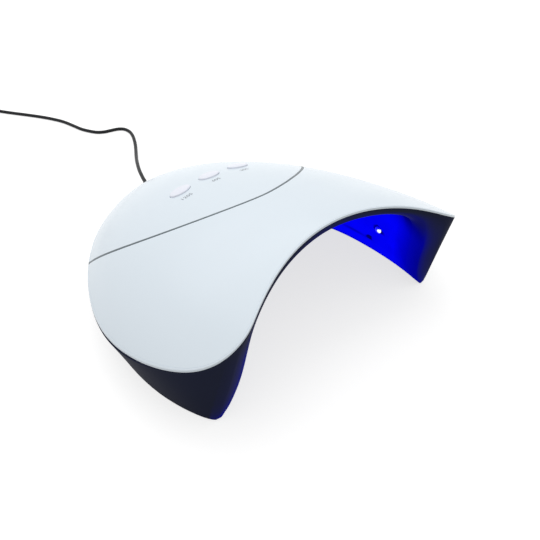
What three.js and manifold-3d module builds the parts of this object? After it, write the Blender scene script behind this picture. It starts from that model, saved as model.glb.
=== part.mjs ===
// Desktop nail lamp: an arched white shell on a dark housing with two legs, lit from inside.
// Millimetres. +X is the right hand side, -Y the open front, +Z up. It rests on Z = 0.
import * as THREE from 'three';
import { mergeVertices } from 'three/addons/utils/BufferGeometryUtils.js';
import Module from 'manifold-3d';

const wasm = await Module();
wasm.setup();

// Shell: a dome that falls from the front edge to the rear and to both sides
const shellSideOverhang = 13.7;
const shellCrest = 74.4;
const shellCrestY = -89.45;
const shellSpineMargin = 12.55;
const shellSideMargin = 2.95;
const shellBaseHeight = 13.4;
const shellPower = 0.673;
const shellWall = 2.4;

// Plan outlines: front edge, leg tip, corner, flank and rear. Each half is three curves.
const rim = {
  front: 70.5, tipX: 66, tipY: 89, tipPullX: 88.4, tipPullY: 95.7, cornerY: 74.2,
  half: 100, wideY: 35.3, flankY: 21.5, rearPullX: 48.8, rear: 90.1,
};
const footTuck = 11.2;
const foot = {
  front: 65.6, tipX: 76.3, tipY: 76.2, tipPullX: 80.1, tipPullY: 76.9, cornerY: 55.3,
  half: rim.half - footTuck, wideY: 25.8, flankY: 40, rearPullX: 50.1, rear: 80.9,
};
const shellHalfSpan = rim.half + shellSideOverhang;
const gridHubY = -10;
const shellSpineReach = rim.rear - shellCrestY + shellSpineMargin;
const shellSideReach = rim.rear - shellCrestY + shellSideMargin;

// Housing
const housingWall = 2.2;
const housingFloor = 2.4;
const padProud = 0.6;
const footRound = 1.8;
const footRoundShare = 0.3;
const wallShares = [0.67, 0.33];
const mouthDepth = 9;

// Hand cavity: half width and height along Y, and how far its walls lean in above the floor
const legWidth = 7.9;
const crownDepth = 9.4;
const cavityHalf = foot.half - legWidth;
const cavityWideY = -31.5;
const cavityReach = 84;
const cavityNoseDraw = 4.1;
const cavityNoseReach = 42;
const cavityNoseShare = 1.2;
const cavityPlanPower = 2.5;
const cavityHeight = shellCrest - crownDepth;
const cavityFallPower = 1.9;
const cavityRootPower = 1.8;
const sectionPower = 9;
const sectionRootPower = 0.6;
const mouthRise = 2.6;
const mouthFade = 7;
const wallLean = 8;
const mouthLean = 5;
const mouthLeanFade = 10;
const leanHeight = 11;
const sweepFade = 42;
const linerWall = 1.8;
const seamHeight = 11;

// Timer buttons
const buttonHalfX = 6.5;
const buttonHalfY = 4.5;
const buttonPitch = 20.7;
const buttonRowY = 23.4;
const buttonProud = 0.9;
const buttonTravel = 0.6;
const flangeRim = 1.3;
const flangeWall = 1.2;
const plungerRadius = 1.5;

// Silver strip
const strip = { frontY: 27.3, pullX: 22, cornerX: 72, cornerY: 4, endX: 74.5, endY: 56 };
const stripWidth = 1.7;
const stripDepth = 0.8;
const stripSteps = 9;

// Control board, switches and their screws, in the tilted frame of the buttons
const boardDrop = 12;
const boardWall = 1.6;
const boardHalfX = 30;
const boardFront = 4;
const boardRear = 20;
const switchSide = 6;
const switchHeight = 3.1;
const stemRadius = 1.6;
const stemProud = 1;
const stemSunk = 0.5;
const boardBossRadius = 2.1;
const boardScrewHead = 1.8;
const boardScrewShank = 0.8;
const boardScrewHeadHeight = 1.2;
const boardScrewPlaces = [[10.35, 0], [27, 13]];

// Light strips, lights and the hand sensors
const carrierWall = 1;
const carrierWidth = 8;
const carrierClear = 0.5;
const carrierRows = 7;
const carrierColumns = 2;
const sideCarrierZ = 22.4;
const ceilingCarrierX = 20;
const carrierFrontY = 54;
const carrierRearY = 8;
const lightRows = [-40, -19, 2];
const lightRadius = 2.3;
const lightProud = 1.2;
const lensShares = [0, 0.5, 0.85, 1];
const sensorRadius = 1.9;
const sensorProud = 0.7;
const sensorRow = -34.6;
const sensorZ = 14.6;
const sensorFlange = 0.8;

// Screws that join housing and shell
const postRadius = 4;
const bossRadius = 3.5;
const postHeight = 6.5;
const screwHeadRadius = 2.9;
const screwHeadHeight = 1.8;
const screwShankRadius = 1.25;
const screwReach = 12.5;
const headEdgeShare = 0.8;
const headSideShare = 0.6;
const seatHeight = 3.4;
const screwShares = [[0.698, 0.5], [0.169, 0.816]];

// Rubber feet
const frontPad = { inset: 4.5, y: -35, halfWidth: 1.9, halfLength: 10, height: 1.4 };
const frontPadX = foot.half - frontPad.inset;
const rearPadShares = [0.428, 0.729];
const rearPad = {
  x: foot.half * rearPadShares[0], y: foot.rear * rearPadShares[1], radius: 5, height: 1.4,
};

// Lead, strain relief, clamp, coil and plug
const cordRadius = 1.3;
const reliefZ = 10;
const reliefCollar = 4.5;
const reliefCollarWall = 1.6;
const reliefShaft = 3;
const reliefBase = 3.8;
const reliefTip = 2;
const reliefBoot = 10.4;
const reliefRimShare = 0.15;
const clampY = 67;
const clampHalfX = 8.4;
const clampLength = 6;
const clampHeight = 3;
const clampScrewX = 6;
const clampPostRadius = 2.2;
const clampScrewShank = 0.8;
const clampScrewHead = 1.9;
const clampScrewHeadHeight = 1.2;
const leadHeight = 4.6;
const leadBackShares = [
  [1, 1], [0.876, 0.981], [0.733, 0.796], [0.6, 0.481], [0.476, 0.204], [0.362, 0.046],
  [0.229, 0], [-0.057, 0],
];
const leadUpShares = [
  [0.11, 0.003], [0.187, 0.037], [0.245, 0.133], [0.284, 0.277], [0.342, 0.463], [0.468, 0.649],
  [0.661, 0.769], [0.852, 0.824], [0.981, 0.862], [1.026, 0.936], [1, 1],
];
const leadEndShare = 0.85;
const wireRadius = 0.5;
const wireClear = 0.9;
const wireNearShare = 0.2;
const wireHalfShare = 0.5;
const wireDropShare = 0.3;
const wireSteps = 8;
const wirePower = 1.6;
const coilTurns = 7.25;
const coilPitch = 3.4;
const coilMeanRadius = 14;
const coilLayer = 3.05;
const coilX = -32;
const coilY = 321;
const coilStartTurnShare = 0.075;
const coilSoftness = 0.02;
const coilSteps = 24;
const coilFinePoints = 1200;
const coilLeadIn = 6;
const plugLead = 9;
const tieWall = 0.5;
const tieWidth = 5;
const plugBody = { width: 15.4, height: 9, length: 23, boot: 8, bootRadius: 3, edge: 1.6 };
const plugShell = { width: 12, height: 4.5, length: 14, wall: 0.35 };
const plugTongue = { width: 10, height: 1.8, length: 24 };

// Running gap between neighbours, how far cuts run past a face, and small steps
const gap = 0.3;
const overrun = 5;
const probe = 0.01;
const weld = 0.001;

// Sides of small and of finer round bores
const smallSides = 10;
const boreSides = 12;
const fineSides = 16;

const lamp = new THREE.Group();

// Materials
function finish(color, roughness, metalness = 0) {
  return new THREE.MeshStandardMaterial({ color, roughness, metalness });
}
const whiteGloss = finish(0xe6ebf2, 0.18);
const silverTrim = finish(0xb4b8be, 0.3, 0.9);
const darkPlastic = finish(0x2b2e38, 0.35);
const linerPlastic = finish(0x1420f0, 0.3);
const boardGreen = finish(0x1f5a35, 0.5);
const lightLens = finish(0xd8dcff, 0.15);
const steel = finish(0xa8acb2, 0.35, 0.9);
const blackPlastic = finish(0x17181c, 0.5);
const blackRubber = finish(0x141416, 0.75);
const switchGrey = finish(0x3a3c40, 0.5);

function piece(name, geometry, material, parent = lamp) {
  const mesh = new THREE.Mesh(geometry, material);
  mesh.name = name;
  parent.add(mesh);
  return mesh;
}

// Solids: to and from the boolean library
function solid(geometry, matrix = new THREE.Matrix4()) {
  const bare = new THREE.BufferGeometry();
  const flat = geometry.index ? geometry.toNonIndexed() : geometry;
  bare.setAttribute('position', flat.getAttribute('position').clone());
  bare.applyMatrix4(matrix);
  const merged = mergeVertices(bare, weld);
  return new wasm.Manifold(new wasm.Mesh({
    numProp: 3,
    vertProperties: new Float32Array(merged.getAttribute('position').array),
    triVerts: new Uint32Array(merged.index.array),
  }));
}

function geometryOf(body) {
  const mesh = body.getMesh();
  const geometry = new THREE.BufferGeometry();
  geometry.setAttribute('position', new THREE.BufferAttribute(mesh.vertProperties, 3));
  geometry.setIndex(new THREE.BufferAttribute(mesh.triVerts, 1));
  geometry.computeVertexNormals();
  return geometry;
}

// A closed body through a row of equal rings, with an end point at each side
function loft(rings, first, last) {
  const count = rings[0].length;
  const points = [first, ...rings.flat(), last];
  const faces = [];
  const corner = (ring, i) => 1 + ring * count + (i % count);
  for (let i = 0; i < count; i += 1) {
    faces.push(0, corner(0, i + 1), corner(0, i));
    for (let ring = 0; ring < rings.length - 1; ring += 1) {
      faces.push(corner(ring, i), corner(ring, i + 1), corner(ring + 1, i + 1));
      faces.push(corner(ring, i), corner(ring + 1, i + 1), corner(ring + 1, i));
    }
    faces.push(points.length - 1, corner(rings.length - 1, i), corner(rings.length - 1, i + 1));
  }
  let volume = 0;
  for (let i = 0; i < faces.length; i += 3) {
    const [a, b, c] = [points[faces[i]], points[faces[i + 1]], points[faces[i + 2]]];
    volume += a.dot(b.clone().cross(c));
  }
  if (volume < 0) faces.reverse();
  const geometry = new THREE.BufferGeometry().setFromPoints(points);
  geometry.setIndex(faces);
  geometry.computeVertexNormals();
  return geometry;
}

function boxBetween(low, high) {
  const size = high.clone().sub(low);
  const middle = high.clone().add(low).multiplyScalar(0.5);
  return new THREE.BoxGeometry(size.x, size.y, size.z).translate(middle.x, middle.y, middle.z);
}

// A rod along Z from one height to another
function rod(radius, low, high, sides = boreSides) {
  const geometry = new THREE.CylinderGeometry(radius, radius, high - low, sides);
  return geometry.rotateX(Math.PI / 2).translate(0, 0, (low + high) / 2);
}

function at(x, y, z = 0) {
  return new THREE.Matrix4().makeTranslation(x, y, z);
}

// Plan outlines
const frontShares = [0.2, 0.42, 0.63, 0.83, 1];
const tipShares = [0.16, 0.32, 0.48, 0.64, 0.82, 1];
const flankShares = [0.15, 0.3, 0.45, 0.58, 0.7, 0.81, 0.91, 1];

function outline(o) {
  const flat = (x, y) => new THREE.Vector2(x, y);
  const start = flat(0, -o.front);
  const tip = flat(o.tipX, -o.tipY);
  const wide = flat(o.half, -o.wideY);
  const end = flat(0, o.rear);
  const frontEdge = new THREE.QuadraticBezierCurve(start, flat(o.tipX / 2, -o.front), tip);
  const tipPull = flat(o.tipPullX, -o.tipPullY);
  const corner = new THREE.CubicBezierCurve(tip, tipPull, flat(o.half, -o.cornerY), wide);
  const flank = new THREE.CubicBezierCurve(wide, flat(o.half, o.flankY), flat(o.rearPullX, o.rear), end);
  const half = [
    start,
    ...frontShares.map((share) => frontEdge.getPoint(share)),
    ...tipShares.map((share) => corner.getPoint(share)),
    ...flankShares.map((share) => flank.getPoint(share)),
  ];
  const mirrored = half.slice(1, -1).reverse().map((p) => flat(-p.x, p.y));
  return [...half, ...mirrored];
}
const rimOutline = outline(rim);
const footOutline = outline(foot);

// The dome
function domeHeight(x, y) {
  const u = Math.max(y - shellCrestY, 0);
  const spine = shellCrest * Math.sqrt(Math.max(1 - (u / shellSpineReach) ** 2, 0));
  const half = shellHalfSpan * Math.sqrt(Math.max(1 - (u / shellSideReach) ** 2, 0));
  const fall = Math.max(1 - (x / half) ** 2, 0) ** shellPower;
  return shellBaseHeight + (spine - shellBaseHeight) * fall;
}

function domeNormal(x, y) {
  const slopeX = (domeHeight(x + probe, y) - domeHeight(x - probe, y)) / (2 * probe);
  const slopeY = (domeHeight(x, y + probe) - domeHeight(x, y - probe)) / (2 * probe);
  return new THREE.Vector3(-slopeX, -slopeY, 1).normalize();
}

function domePoint(x, y, offset) {
  return new THREE.Vector3(x, y, domeHeight(x, y)).addScaledVector(domeNormal(x, y), offset);
}

const ringShares = [0.24, 0.46, 0.66, 0.83, 0.94, 1];

function domeRings(offset) {
  return ringShares.map((share) => rimOutline.map((p) => {
    const y = gridHubY + (p.y - gridHubY) * share;
    return domePoint(p.x * share, y, offset);
  }));
}

// Everything below the dome, its surface moved out by an offset
function domeBlock(offset) {
  const rings = domeRings(offset);
  const skirt = rings.at(-1).map((p) => new THREE.Vector3(p.x, p.y, -overrun));
  return loft([...rings, skirt], domePoint(0, gridHubY, offset), new THREE.Vector3(0, gridHubY, -overrun));
}

// Points of a ring moved inwards in plan
function insetRing(ring, distance) {
  const count = ring.length;
  return ring.map((p, i) => {
    const before = ring[(i + count - 1) % count];
    const after = ring[(i + 1) % count];
    const along = new THREE.Vector3(after.x - before.x, after.y - before.y, 0).normalize();
    return new THREE.Vector3(p.x - along.y * distance, p.y + along.x * distance, p.z);
  });
}

// Housing wall: straight between the foot and the underside of the shell's edge
const wallTop = domeRings(-shellWall - gap).at(-1);

function wallRing(height) {
  const start = padProud + footRound;
  return wallTop.map((top, i) => {
    const share = (height - start) / (top.z - start);
    return new THREE.Vector3(
      footOutline[i].x + (top.x - footOutline[i].x) * share,
      footOutline[i].y + (top.y - footOutline[i].y) * share,
      height,
    );
  });
}

function wallRow(share) {
  const low = wallRing(padProud + footRound);
  return wallTop.map((top, i) => low[i].clone().lerp(top, share));
}

function housingEnvelope() {
  const footRing = wallRing(padProud + footRound);
  const edge = footRound * footRoundShare;
  const roundRing = insetRing(footRing, edge).map((p) => p.setZ(padProud + edge));
  const floorRing = insetRing(footRing, footRound).map((p) => p.setZ(padProud));
  const wall = wallShares.map((share) => wallRow(share));
  const rings = [...domeRings(-shellWall - gap), ...wall, footRing, roundRing, floorRing];
  return loft(rings, domePoint(0, gridHubY, -shellWall - gap), new THREE.Vector3(0, gridHubY, padProud));
}

// The room inside the housing wall, open at the top
function housingRoom() {
  const low = insetRing(wallRing(padProud + housingFloor), housingWall);
  const high = insetRing(wallTop, housingWall);
  const lid = shellCrest + overrun;
  const above = high.map((p) => new THREE.Vector3(p.x, p.y, lid));
  const [first, last] = [low[0].z, lid].map((z) => new THREE.Vector3(0, gridHubY, z));
  return loft([low, high, above], first, last);
}

// Hand cavity. A row follows the front edge at the mouth and straightens towards the rear.
const cavityFrontY = -rim.front;
const cavityRearY = cavityWideY + cavityReach;
const cavityDepth = cavityRearY - cavityFrontY;
const mouthSweep = rim.tipY - rim.front;
const floorSweep = foot.tipY - rim.front;
const tipHeight = domeHeight(rim.tipX, -rim.tipY);

// How far a row is drawn to the front at the legs: as much as the leaning front face
function sweepAt(row, z) {
  const t = Math.min(Math.max((row - cavityFrontY) / sweepFade, 0), 1);
  const rise = Math.min(Math.max(z / tipHeight, 0), 1);
  return (floorSweep + (mouthSweep - floorSweep) * rise) * (1 - t * t * (3 - 2 * t));
}

function cavityHalfAt(y, grow) {
  const ahead = Math.min(Math.max(cavityWideY - y, 0) / cavityNoseReach, cavityNoseShare);
  const behind = Math.min(Math.max(y - cavityWideY, 0) / (cavityReach + grow), 1);
  const planShare = (1 - behind ** cavityPlanPower) ** (1 / cavityPlanPower);
  return (cavityHalf + grow) * planShare - cavityNoseDraw * ahead ** 2;
}

function cavityHeightAt(row, grow) {
  const behind = Math.min(Math.max(row - cavityFrontY, 0) / (cavityDepth + grow), 1);
  const flare = mouthRise * Math.exp(-Math.max(row - cavityFrontY, 0) / mouthFade);
  const fallShare = (1 - behind ** cavityFallPower) ** (1 / cavityRootPower);
  return (cavityHeight + grow) * fallShare + flare * (1 - behind);
}

function leanAt(y) {
  const mouth = mouthLean * Math.exp(-Math.max(y + rim.front, 0) / mouthLeanFade);
  return (wallLean + mouth) * cavityHalfAt(y, 0) / cavityHalf;
}

function cavityPoint(side, row, heightShare, grow) {
  const z = cavityHeightAt(row, grow) * heightShare;
  const sweep = sweepAt(row, z);
  const wallY = row - sweep;
  const half = cavityHalfAt(wallY, grow) - leanAt(wallY) * (1 - Math.exp(-z / leanHeight));
  const x = half * (1 - heightShare ** sectionPower) ** sectionRootPower;
  const y = row - sweep * Math.min(x / rim.tipX, 1) ** 2;
  return new THREE.Vector3(side * x, y, z);
}

// Share of the height at which the ceiling passes over a given x
function ceilingShare(x, row, grow) {
  const half = cavityHalfAt(row, grow) - leanAt(row);
  return (1 - (x / half) ** (1 / sectionRootPower)) ** (1 / sectionPower);
}

const sectionShares = [0, 0.1, 0.24, 0.44, 0.64, 0.79, 0.89, 0.955, 0.99];
const rowShares = [0, 0.04, 0.1, 0.19, 0.32, 0.47, 0.62, 0.76, 0.87, 0.95, 0.99];

function cavityRow(row, grow) {
  const right = sectionShares.map((share) => cavityPoint(1, row, share, grow));
  const left = sectionShares.map((share) => cavityPoint(-1, row, share, grow)).reverse();
  const top = cavityPoint(1, row, 1, grow);
  const below = [left.at(-1), right[0]].map((p) => new THREE.Vector3(p.x, p.y, -overrun));
  return [...right, top, ...left, ...below];
}

function middleOf(ring) {
  const sum = ring.reduce((total, p) => total.add(p), new THREE.Vector3());
  return sum.divideScalar(ring.length);
}

// The cavity between two rows, grown outwards all round
function cavityBody(grow, from, to) {
  const depth = cavityDepth + grow;
  const inner = rowShares.map((share) => cavityFrontY + depth * share);
  const rows = [from, ...inner.filter((row) => row > from + gap && row < to - gap)];
  if (to < cavityRearY) rows.push(to);
  const rings = rows.map((row) => cavityRow(row, grow));
  return solid(loft(rings, middleOf(rings[0]), middleOf(rings.at(-1))));
}

const beforeMouth = cavityFrontY - mouthSweep;
const mouthBack = cavityFrontY + mouthDepth;
const behindCavity = cavityRearY + overrun;
const cavity = cavityBody(0, beforeMouth, behindCavity);
const grownCavity = cavityBody(linerWall, beforeMouth, behindCavity);
const grownMouth = cavityBody(linerWall, beforeMouth, mouthBack);
const slab = (low, high) => solid(boxBetween(
  new THREE.Vector3(-2 * rim.half, -2 * rim.half, low),
  new THREE.Vector3(2 * rim.half, 2 * rim.half, high),
));

// Places shared by several pieces
const bothSides = [-1, 1];
const screwSpots = screwShares.flatMap(([xShare, yShare]) => (
  bothSides.map((side) => [side * foot.half * xShare, foot.rear * yShare])
));
const buttonSlope = domeNormal(0, buttonRowY);
const buttonTilt = Math.atan2(buttonSlope.y, buttonSlope.z);
const controls = new THREE.Group();
controls.position.set(0, buttonRowY, domeHeight(0, buttonRowY));
controls.rotation.x = -buttonTilt;
controls.updateMatrix();
lamp.add(controls);
const inControls = (x, y, z = 0) => controls.matrix.clone().multiply(at(x, y, z));
const boardScrewSpots = boardScrewPlaces.flatMap(([x, y]) => bothSides.map((side) => [side * x, y]));

function ovalRod(halfX, halfY, low, high) {
  const shape = new THREE.Shape().absellipse(0, 0, halfX, halfY, 0, 2 * Math.PI);
  return new THREE.ExtrudeGeometry(shape, { depth: high - low, bevelEnabled: false, curveSegments: 8 })
    .translate(0, 0, low);
}

// Strip outline in plan, widened by a margin
function stripBand(margin) {
  const halfWidth = stripWidth / 2 + margin;
  const curve = new THREE.CubicBezierCurve(
    new THREE.Vector2(0, -strip.frontY),
    new THREE.Vector2(strip.pullX, -strip.frontY),
    new THREE.Vector2(strip.cornerX, strip.cornerY),
    new THREE.Vector2(strip.endX, strip.endY),
  );
  const right = curve.getPoints(stripSteps);
  const path = [...right.slice(1).reverse().map((p) => new THREE.Vector2(-p.x, p.y)), ...right];
  const edge = (side) => path.map((p, i) => {
    const before = path[Math.max(i - 1, 0)];
    const after = path[Math.min(i + 1, path.length - 1)];
    const along = after.clone().sub(before).normalize();
    return new THREE.Vector2(p.x - along.y * side * halfWidth, p.y + along.x * side * halfWidth);
  });
  const shape = new THREE.Shape([...edge(-1), ...edge(1).reverse()]);
  return solid(new THREE.ExtrudeGeometry(shape, { depth: shellCrest + overrun, bevelEnabled: false }));
}

// Top shell
const shellRings = [...domeRings(0), ...domeRings(-shellWall).reverse()];
const shellBlank = solid(loft(shellRings, domePoint(0, gridHubY, 0), domePoint(0, gridHubY, -shellWall)));

function topShell() {
  const groove = stripBand(gap).subtract(solid(domeBlock(-stripDepth - gap)));
  let shell = shellBlank.subtract(groove);
  const underSkin = solid(domeBlock(-shellWall / 2));
  for (const [x, y] of screwSpots) {
    const boss = solid(rod(bossRadius, postHeight + gap, shellCrest), at(x, y)).intersect(underSkin);
    shell = shell.add(boss);
    const bore = rod(screwShankRadius + gap, 0, seatHeight + screwReach + gap);
    shell = shell.subtract(solid(bore, at(x, y)));
  }
  for (const [x, y] of boardScrewSpots) {
    const boss = rod(boardBossRadius, -boardDrop + gap, overrun, smallSides);
    shell = shell.add(solid(boss, inControls(x, y)).intersect(underSkin));
    const bore = rod(boardScrewShank + gap, -boardDrop - overrun, -boardDrop / 2, smallSides);
    shell = shell.subtract(solid(bore, inControls(x, y)));
  }
  for (const column of [-1, 0, 1]) {
    const hole = ovalRod(buttonHalfX + gap, buttonHalfY + gap, -2 * overrun, overrun);
    shell = shell.subtract(solid(hole, inControls(column * buttonPitch, 0)));
  }
  return shell;
}

function trimStrip() {
  return stripBand(0).intersect(shellBlank).subtract(solid(domeBlock(-stripDepth)));
}

// Timer buttons: a cap that follows the shell, a flange under the shell and a plunger
const stemTop = -boardDrop + gap + switchHeight + stemProud;

function timerButton(column) {
  const x = column * buttonPitch;
  const cap = solid(ovalRod(buttonHalfX, buttonHalfY, -2 * overrun, overrun), inControls(x, 0));
  const flangeRod = ovalRod(buttonHalfX + flangeRim, buttonHalfY + flangeRim, -2 * overrun, overrun);
  const flange = solid(flangeRod, inControls(x, 0));
  const flangeTop = -shellWall - gap;
  const underShell = solid(domeBlock(flangeTop));
  const belowFlange = solid(domeBlock(flangeTop - flangeWall));
  const plunger = solid(rod(plungerRadius, stemTop + gap, 0, fineSides), inControls(x, 0));
  const capBody = cap.intersect(solid(domeBlock(buttonProud))).subtract(belowFlange);
  return capBody.add(flange.intersect(underShell).subtract(belowFlange)).add(plunger.intersect(underShell));
}

// Lower housing
function lowerHousing() {
  const lip = grownCavity.intersect(slab(-overrun, seamHeight));
  const room = solid(housingRoom()).subtract(lip).subtract(grownMouth);
  let housing = solid(housingEnvelope()).subtract(cavity).subtract(room);
  for (const [x, y] of screwSpots) {
    housing = housing.add(solid(rod(postRadius, padProud + gap, postHeight), at(x, y)));
    housing = housing.subtract(solid(rod(screwShankRadius + gap, 0, postHeight + gap), at(x, y)));
    housing = housing.subtract(solid(rod(screwHeadRadius + gap, -overrun, seatHeight), at(x, y)));
  }
  for (const side of bothSides) {
    const { y, halfWidth, halfLength, height } = frontPad;
    const reach = new THREE.Vector3(halfWidth + gap, halfLength + gap, height + gap);
    const recess = boxBetween(reach.clone().multiplyScalar(-1), reach);
    housing = housing.subtract(solid(recess, at(side * frontPadX, y)));
    const round = rod(rearPad.radius + gap, -overrun, rearPad.height + gap);
    housing = housing.subtract(solid(round, at(side * rearPad.x, rearPad.y)));
    const post = rod(clampPostRadius, padProud + gap, leadHeight);
    housing = housing.add(solid(post, at(side * clampScrewX, clampY)));
    const bore = rod(clampScrewShank + gap, padProud + housingFloor / 2, leadHeight + gap, smallSides);
    housing = housing.subtract(solid(bore, at(side * clampScrewX, clampY)));
  }
  const hole = rod(reliefShaft + gap, 0, overrun * 3).rotateX(-Math.PI / 2);
  return housing.subtract(solid(hole, at(0, foot.rear - overrun, reliefZ)));
}

// Frame of a light on the cavity wall: the local Z points out of the cavity
function wallFrame(side, row, heightShare) {
  const here = cavityPoint(side, row, heightShare, 0);
  const along = cavityPoint(side, row + probe, heightShare, 0).sub(here);
  const up = cavityPoint(side, row, heightShare - probe / cavityHeight, 0).sub(here);
  const normal = along.cross(up).normalize();
  if (normal.x * side < 0) normal.negate();
  const turn = new THREE.Quaternion().setFromUnitVectors(new THREE.Vector3(0, 0, 1), normal);
  return new THREE.Matrix4().compose(here, turn, new THREE.Vector3(1, 1, 1));
}

const lights = [];
for (const row of lightRows) {
  for (const side of bothSides) {
    lights.push(wallFrame(side, row, sideCarrierZ / cavityHeightAt(row, 0)));
    lights.push(wallFrame(side, row, ceilingShare(ceilingCarrierX, row, 0)));
  }
}
const sensors = bothSides.map((side) => wallFrame(side, sensorRow, sensorZ / cavityHeightAt(sensorRow, 0)));

// Reflector inside the housing
function cavityLiner() {
  const shellOfCavity = cavityBody(linerWall, mouthBack + gap, behindCavity).subtract(cavity);
  let liner = shellOfCavity.intersect(slab(seamHeight + gap, shellCrest));
  for (const frame of lights) {
    liner = liner.subtract(solid(rod(lightRadius + gap, -overrun, overrun, smallSides), frame));
  }
  for (const frame of sensors) {
    liner = liner.subtract(solid(rod(sensorRadius + gap, -overrun, overrun, smallSides), frame));
  }
  return liner;
}

// A strip that lies on the liner: a patch of the cavity wall between two rows
function carrier(side, lowShare, highShare) {
  const inner = linerWall + carrierClear;
  const rings = [];
  for (let i = 0; i <= carrierRows; i += 1) {
    const row = -carrierFrontY + (carrierRearY + carrierFrontY) * i / carrierRows;
    const patch = (grow) => Array.from({ length: carrierColumns + 1 }, (unused, k) => {
      const share = lowShare(row) + (highShare(row) - lowShare(row)) * k / carrierColumns;
      return cavityPoint(side, row, share, grow);
    });
    rings.push([...patch(inner), ...patch(inner + carrierWall).reverse()]);
  }
  return loft(rings, middleOf(rings[0]), middleOf(rings.at(-1)));
}

function sideCarrier(side) {
  const share = (offset) => (row) => (sideCarrierZ + offset) / cavityHeightAt(row, linerWall);
  return carrier(side, share(-carrierWidth / 2), share(carrierWidth / 2));
}

function ceilingCarrier(side) {
  const share = (offset) => (row) => ceilingShare(ceilingCarrierX + offset, row, linerWall);
  return carrier(side, share(carrierWidth / 2), share(-carrierWidth / 2));
}

// Turned bodies: profile of [radius, height] pairs around Z
function turned(profile, sides = 14) {
  const points = profile.map(([radius, height]) => new THREE.Vector2(radius, height));
  return new THREE.LatheGeometry(points, sides).rotateX(Math.PI / 2);
}

// A light sits in the liner with its dome inside the cavity
const lightSeat = linerWall;

function lensCap(radius, proud) {
  return lensShares.map((share) => [radius * share, -proud * Math.sqrt(1 - share ** 2)]);
}

function lightBody() {
  const profile = [...lensCap(lightRadius, lightProud), [lightRadius, lightSeat], [0, lightSeat]];
  return turned(profile, smallSides);
}

function sensorBody() {
  const seat = linerWall + gap;
  const wide = sensorRadius + 2 * gap + sensorFlange / 2;
  const back = seat + sensorFlange;
  const flange = [[sensorRadius, seat], [wide, seat], [wide, back], [0, back]];
  return turned([...lensCap(sensorRadius, sensorProud), ...flange], boreSides);
}

// Screws stand on their head at Z = 0 with the shank up
function screwBody(headRadius, headHeight, shankRadius, shankLength) {
  return turned([
    [0, -headHeight], [headRadius * headEdgeShare, -headHeight],
    [headRadius, -headHeight * headSideShare], [headRadius, 0],
    [shankRadius, 0], [shankRadius, shankLength - shankRadius], [0, shankLength],
  ], 8);
}

// A round tube along a smooth route
function tube(route, radius, steps, sides = 8) {
  const section = new THREE.Shape();
  for (let i = 0; i < sides; i += 1) {
    const angle = 2 * Math.PI * (i + 0.5) / sides;
    const [x, y] = [radius * Math.cos(angle), radius * Math.sin(angle)];
    if (i === 0) section.moveTo(x, y);
    else section.lineTo(x, y);
  }
  section.closePath();
  const settings = { steps, bevelEnabled: false, extrudePath: route, curveSegments: 1 };
  return new THREE.ExtrudeGeometry(section, settings);
}

function smoothRoute(points) {
  return new THREE.CatmullRomCurve3(points.map(([x, y, z]) => new THREE.Vector3(x, y, z)));
}

// Build the shell group
piece('top_shell', geometryOf(topShell()), whiteGloss);
piece('trim_strip', geometryOf(trimStrip()), silverTrim);
[['120', -1], ['60', 0], ['30', 1]].forEach(([seconds, column]) => {
  piece(`timer_button_${seconds}`, geometryOf(timerButton(column)), whiteGloss);
  const stem = turned([
    [0, -stemSunk - stemProud], [stemRadius, -stemSunk - stemProud], [stemRadius, 0], [0, 0],
  ], 14);
  piece(`switch_stem_${seconds}`, stem, switchGrey, controls).position.set(column * buttonPitch, 0, stemTop);
  const top = -boardDrop + gap + switchHeight;
  const halfSide = switchSide / 2;
  const body = boxBetween(
    new THREE.Vector3(-halfSide, -halfSide, top - switchHeight),
    new THREE.Vector3(halfSide, halfSide, top),
  );
  const well = rod(stemRadius + gap, top - stemSunk - buttonTravel - gap, top + gap, 14);
  const switchBody = geometryOf(solid(body).subtract(solid(well)));
  piece(`tact_switch_${seconds}`, switchBody, blackPlastic, controls).position.x = column * buttonPitch;
});

// Control board and its screws
let board = solid(boxBetween(
  new THREE.Vector3(-boardHalfX, -boardFront, -boardDrop - boardWall),
  new THREE.Vector3(boardHalfX, boardRear, -boardDrop),
));
for (const [x, y] of boardScrewSpots) {
  board = board.subtract(solid(rod(boardScrewShank + gap, -boardDrop - overrun, 0, smallSides), at(x, y)));
}
piece('control_board', geometryOf(board), boardGreen, controls);
boardScrewSpots.forEach(([x, y], i) => {
  const length = boardWall + gap + boardDrop / 2 - 2 * gap;
  const screw = screwBody(boardScrewHead, boardScrewHeadHeight, boardScrewShank, length);
  piece(`board_screw_${i + 1}`, screw, steel, controls).position.set(x, y, -boardDrop - boardWall - gap);
});

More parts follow.
